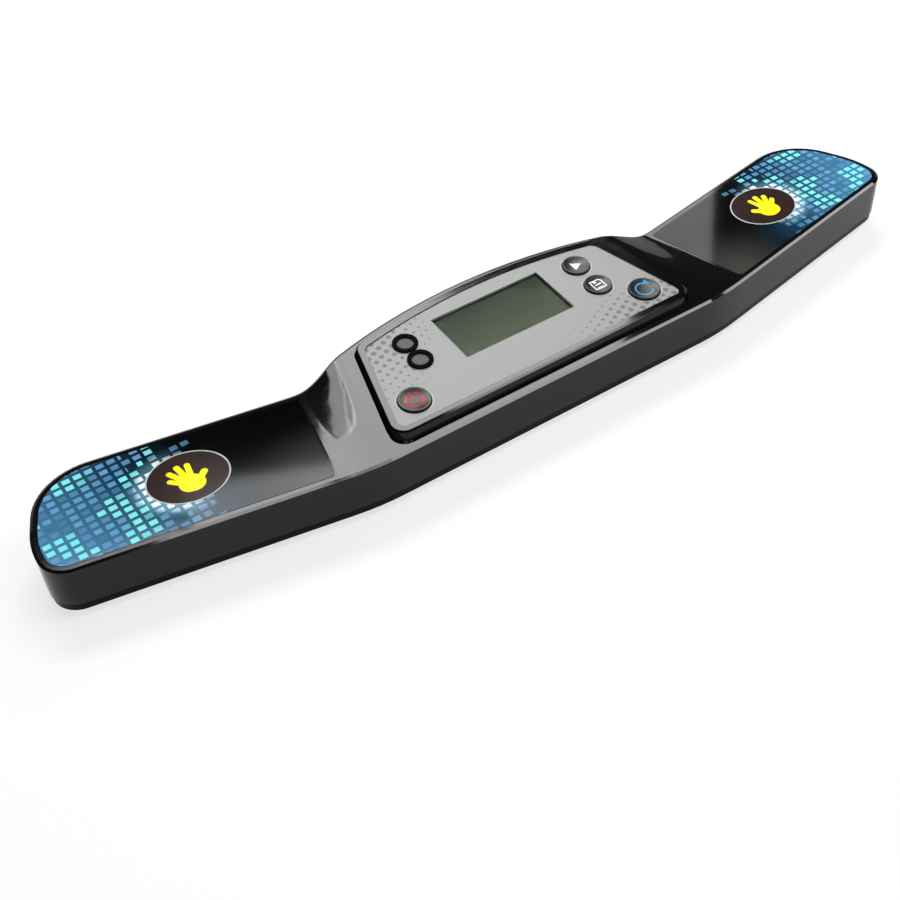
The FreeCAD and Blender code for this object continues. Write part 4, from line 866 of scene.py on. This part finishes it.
print_sign("power", red_ink, ink_band(outer=2.75, inner=2.25, gap_start=62, gap_end=118),
           ink_patch(power_stroke))
print_sign("play", white_ink, ink_patch(play_triangle))
print_sign("save", white_ink, *[ink_patch(corners) for corners in disk_lines])
print_sign("reset", sky_blue_ink, ink_band(outer=2.75, inner=2.3, gap_start=-28, gap_end=50),
           ink_patch(arrow_head))

# ---------------------------------------------------------------- case screws
# Six pan-head tapping screws with a cross recess hold the two halves together. They sit at
# the foot of deep wells in the underside, with their threads cut into the posts above.

# screw centres on the right side, in millimetres
screw_spots = {"tip": (134, 4), "front": (70.5, -13.5), "back": (66, 7)}
head_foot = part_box("shell_screws")[0].z
# all sizes of the screw are in millimetres: radius of the flat in the middle of the head,
# then rise and radius of each step of its crown and side, from below, and of the point
head_sides, head_flat = 48, 1.0
head_steps = ((0.1, 1.25), (0.13, 1.45), (0.2, 1.62), (0.27, 1.7), (0.6, 1.7))
point_step = (0.8, 0.15)
core_radius, core_length = 0.75, 7.2
# outer radius of the thread, radius of its ridge, its pitch and where it starts
thread_radius, ridge_radius, thread_pitch, thread_start = 1.05, 0.2, 0.9, 2.0
thread_turns, turn_steps = 7, 24
# a blade of the driver: radii at its foot and tip, length, middle, thickness over width
blade_foot, blade_tip, blade_length, blade_middle, blade_share = 1.35, 0.7, 1.1, 0.35, 0.24

# Zinc plate on steel: grey and soft, with a bluish cast and handling marks of 0.7 mm.
zinc, tree, shader, here = start_material("zinc_plated_steel", Metallic=1.0)
marks = mottle(tree, shader, here, "#7C8084", "#A6AAAE", grains=1400, detail=4)
gloss = add(tree, "MapRange", {"Value": marks, "To Min": 0.28, "To Max": 0.46})
tree.links.new(gloss.outputs[0], shader.inputs["Roughness"])

bpy.ops.object.select_all(action="DESELECT")
bpy.ops.mesh.primitive_circle_add(vertices=head_sides, radius=head_flat, fill_type="NGON",
                                  location=(0, 0, 0))
screw = bpy.context.object
bpy.ops.object.mode_set(mode="EDIT")
wide = head_flat
for rise, radius in head_steps + ((core_length, core_radius), point_step):
    # the flat underside of the head, round the core
    if radius == core_radius:
        bpy.ops.mesh.inset(thickness=wide - core_radius, depth=0)
        wide = core_radius
    bpy.ops.mesh.extrude_region_move(TRANSFORM_OT_translate={"value": (0, 0, rise)})
    share = radius / wide
    bpy.ops.transform.resize(value=(share, share, 1), center_override=(0, 0, 0))
    wide = radius
bpy.ops.object.mode_set(mode="OBJECT")
turn_out(screw)

# two tapered blades cut the cross recess
for turned in (45, 135):
    bpy.ops.object.select_all(action="DESELECT")
    bpy.ops.mesh.primitive_cone_add(vertices=4, radius1=blade_foot, radius2=blade_tip,
                                    depth=blade_length, location=(0, 0, blade_middle),
                                    rotation=(0, 0, radians(45)))
    blade = bpy.context.object
    bpy.ops.object.transform_apply(location=True, rotation=True, scale=True)
    blade.scale = (1, blade_share, 1)
    blade.rotation_euler = (0, 0, radians(turned))
    bpy.context.view_layer.update()
    cut = screw.modifiers.new("cross_recess", "BOOLEAN")
    cut.operation = "DIFFERENCE"
    cut.object = blade
    bpy.context.view_layer.objects.active = screw
    bpy.ops.object.modifier_apply(modifier="cross_recess")
    bpy.data.objects.remove(blade)

# the thread is a three-sided ridge turned up round the core
bpy.ops.object.select_all(action="DESELECT")
bpy.ops.mesh.primitive_circle_add(vertices=3, radius=ridge_radius, location=(0, 0, 0))
thread = bpy.context.object
thread.rotation_euler = (radians(90), radians(90), 0)
thread.location = (thread_radius - ridge_radius, 0, thread_start)
bpy.ops.object.transform_apply(location=True, rotation=True, scale=True)
turns = thread.modifiers.new("thread_turns", "SCREW")
turns.screw_offset = thread_pitch
turns.iterations = thread_turns
turns.steps = turns.render_steps = turn_steps
turns.use_merge_vertices = False
bpy.ops.object.modifier_apply(modifier="thread_turns")
bpy.ops.object.mode_set(mode="EDIT")
bpy.ops.mesh.select_mode(type="VERT")
bpy.ops.mesh.select_all(action="DESELECT")
bpy.ops.mesh.select_non_manifold()
bpy.ops.mesh.fill_holes(sides=3)
bpy.ops.object.mode_set(mode="OBJECT")
turn_out(thread)
pick(screw, thread)
bpy.ops.object.join()

head_smooth_below = radians(30)
for side, mirror in (("left", -1), ("right", 1)):
    for spot_name, (x, y) in screw_spots.items():
        driven = twin(screw)
        driven.scale = (millimetre,) * 3
        # each one stops at a turn of its own
        driven.rotation_euler = (0, 0, radians(x * 7 + mirror * 20))
        driven.location = (mirror * x / 1000, y / 1000, head_foot)
        settle(driven, f"{side}_{spot_name}_screw", zinc, "case")
        bpy.ops.object.shade_smooth_by_angle(angle=head_smooth_below)
        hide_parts("shell_screws")
bpy.data.objects.remove(screw)
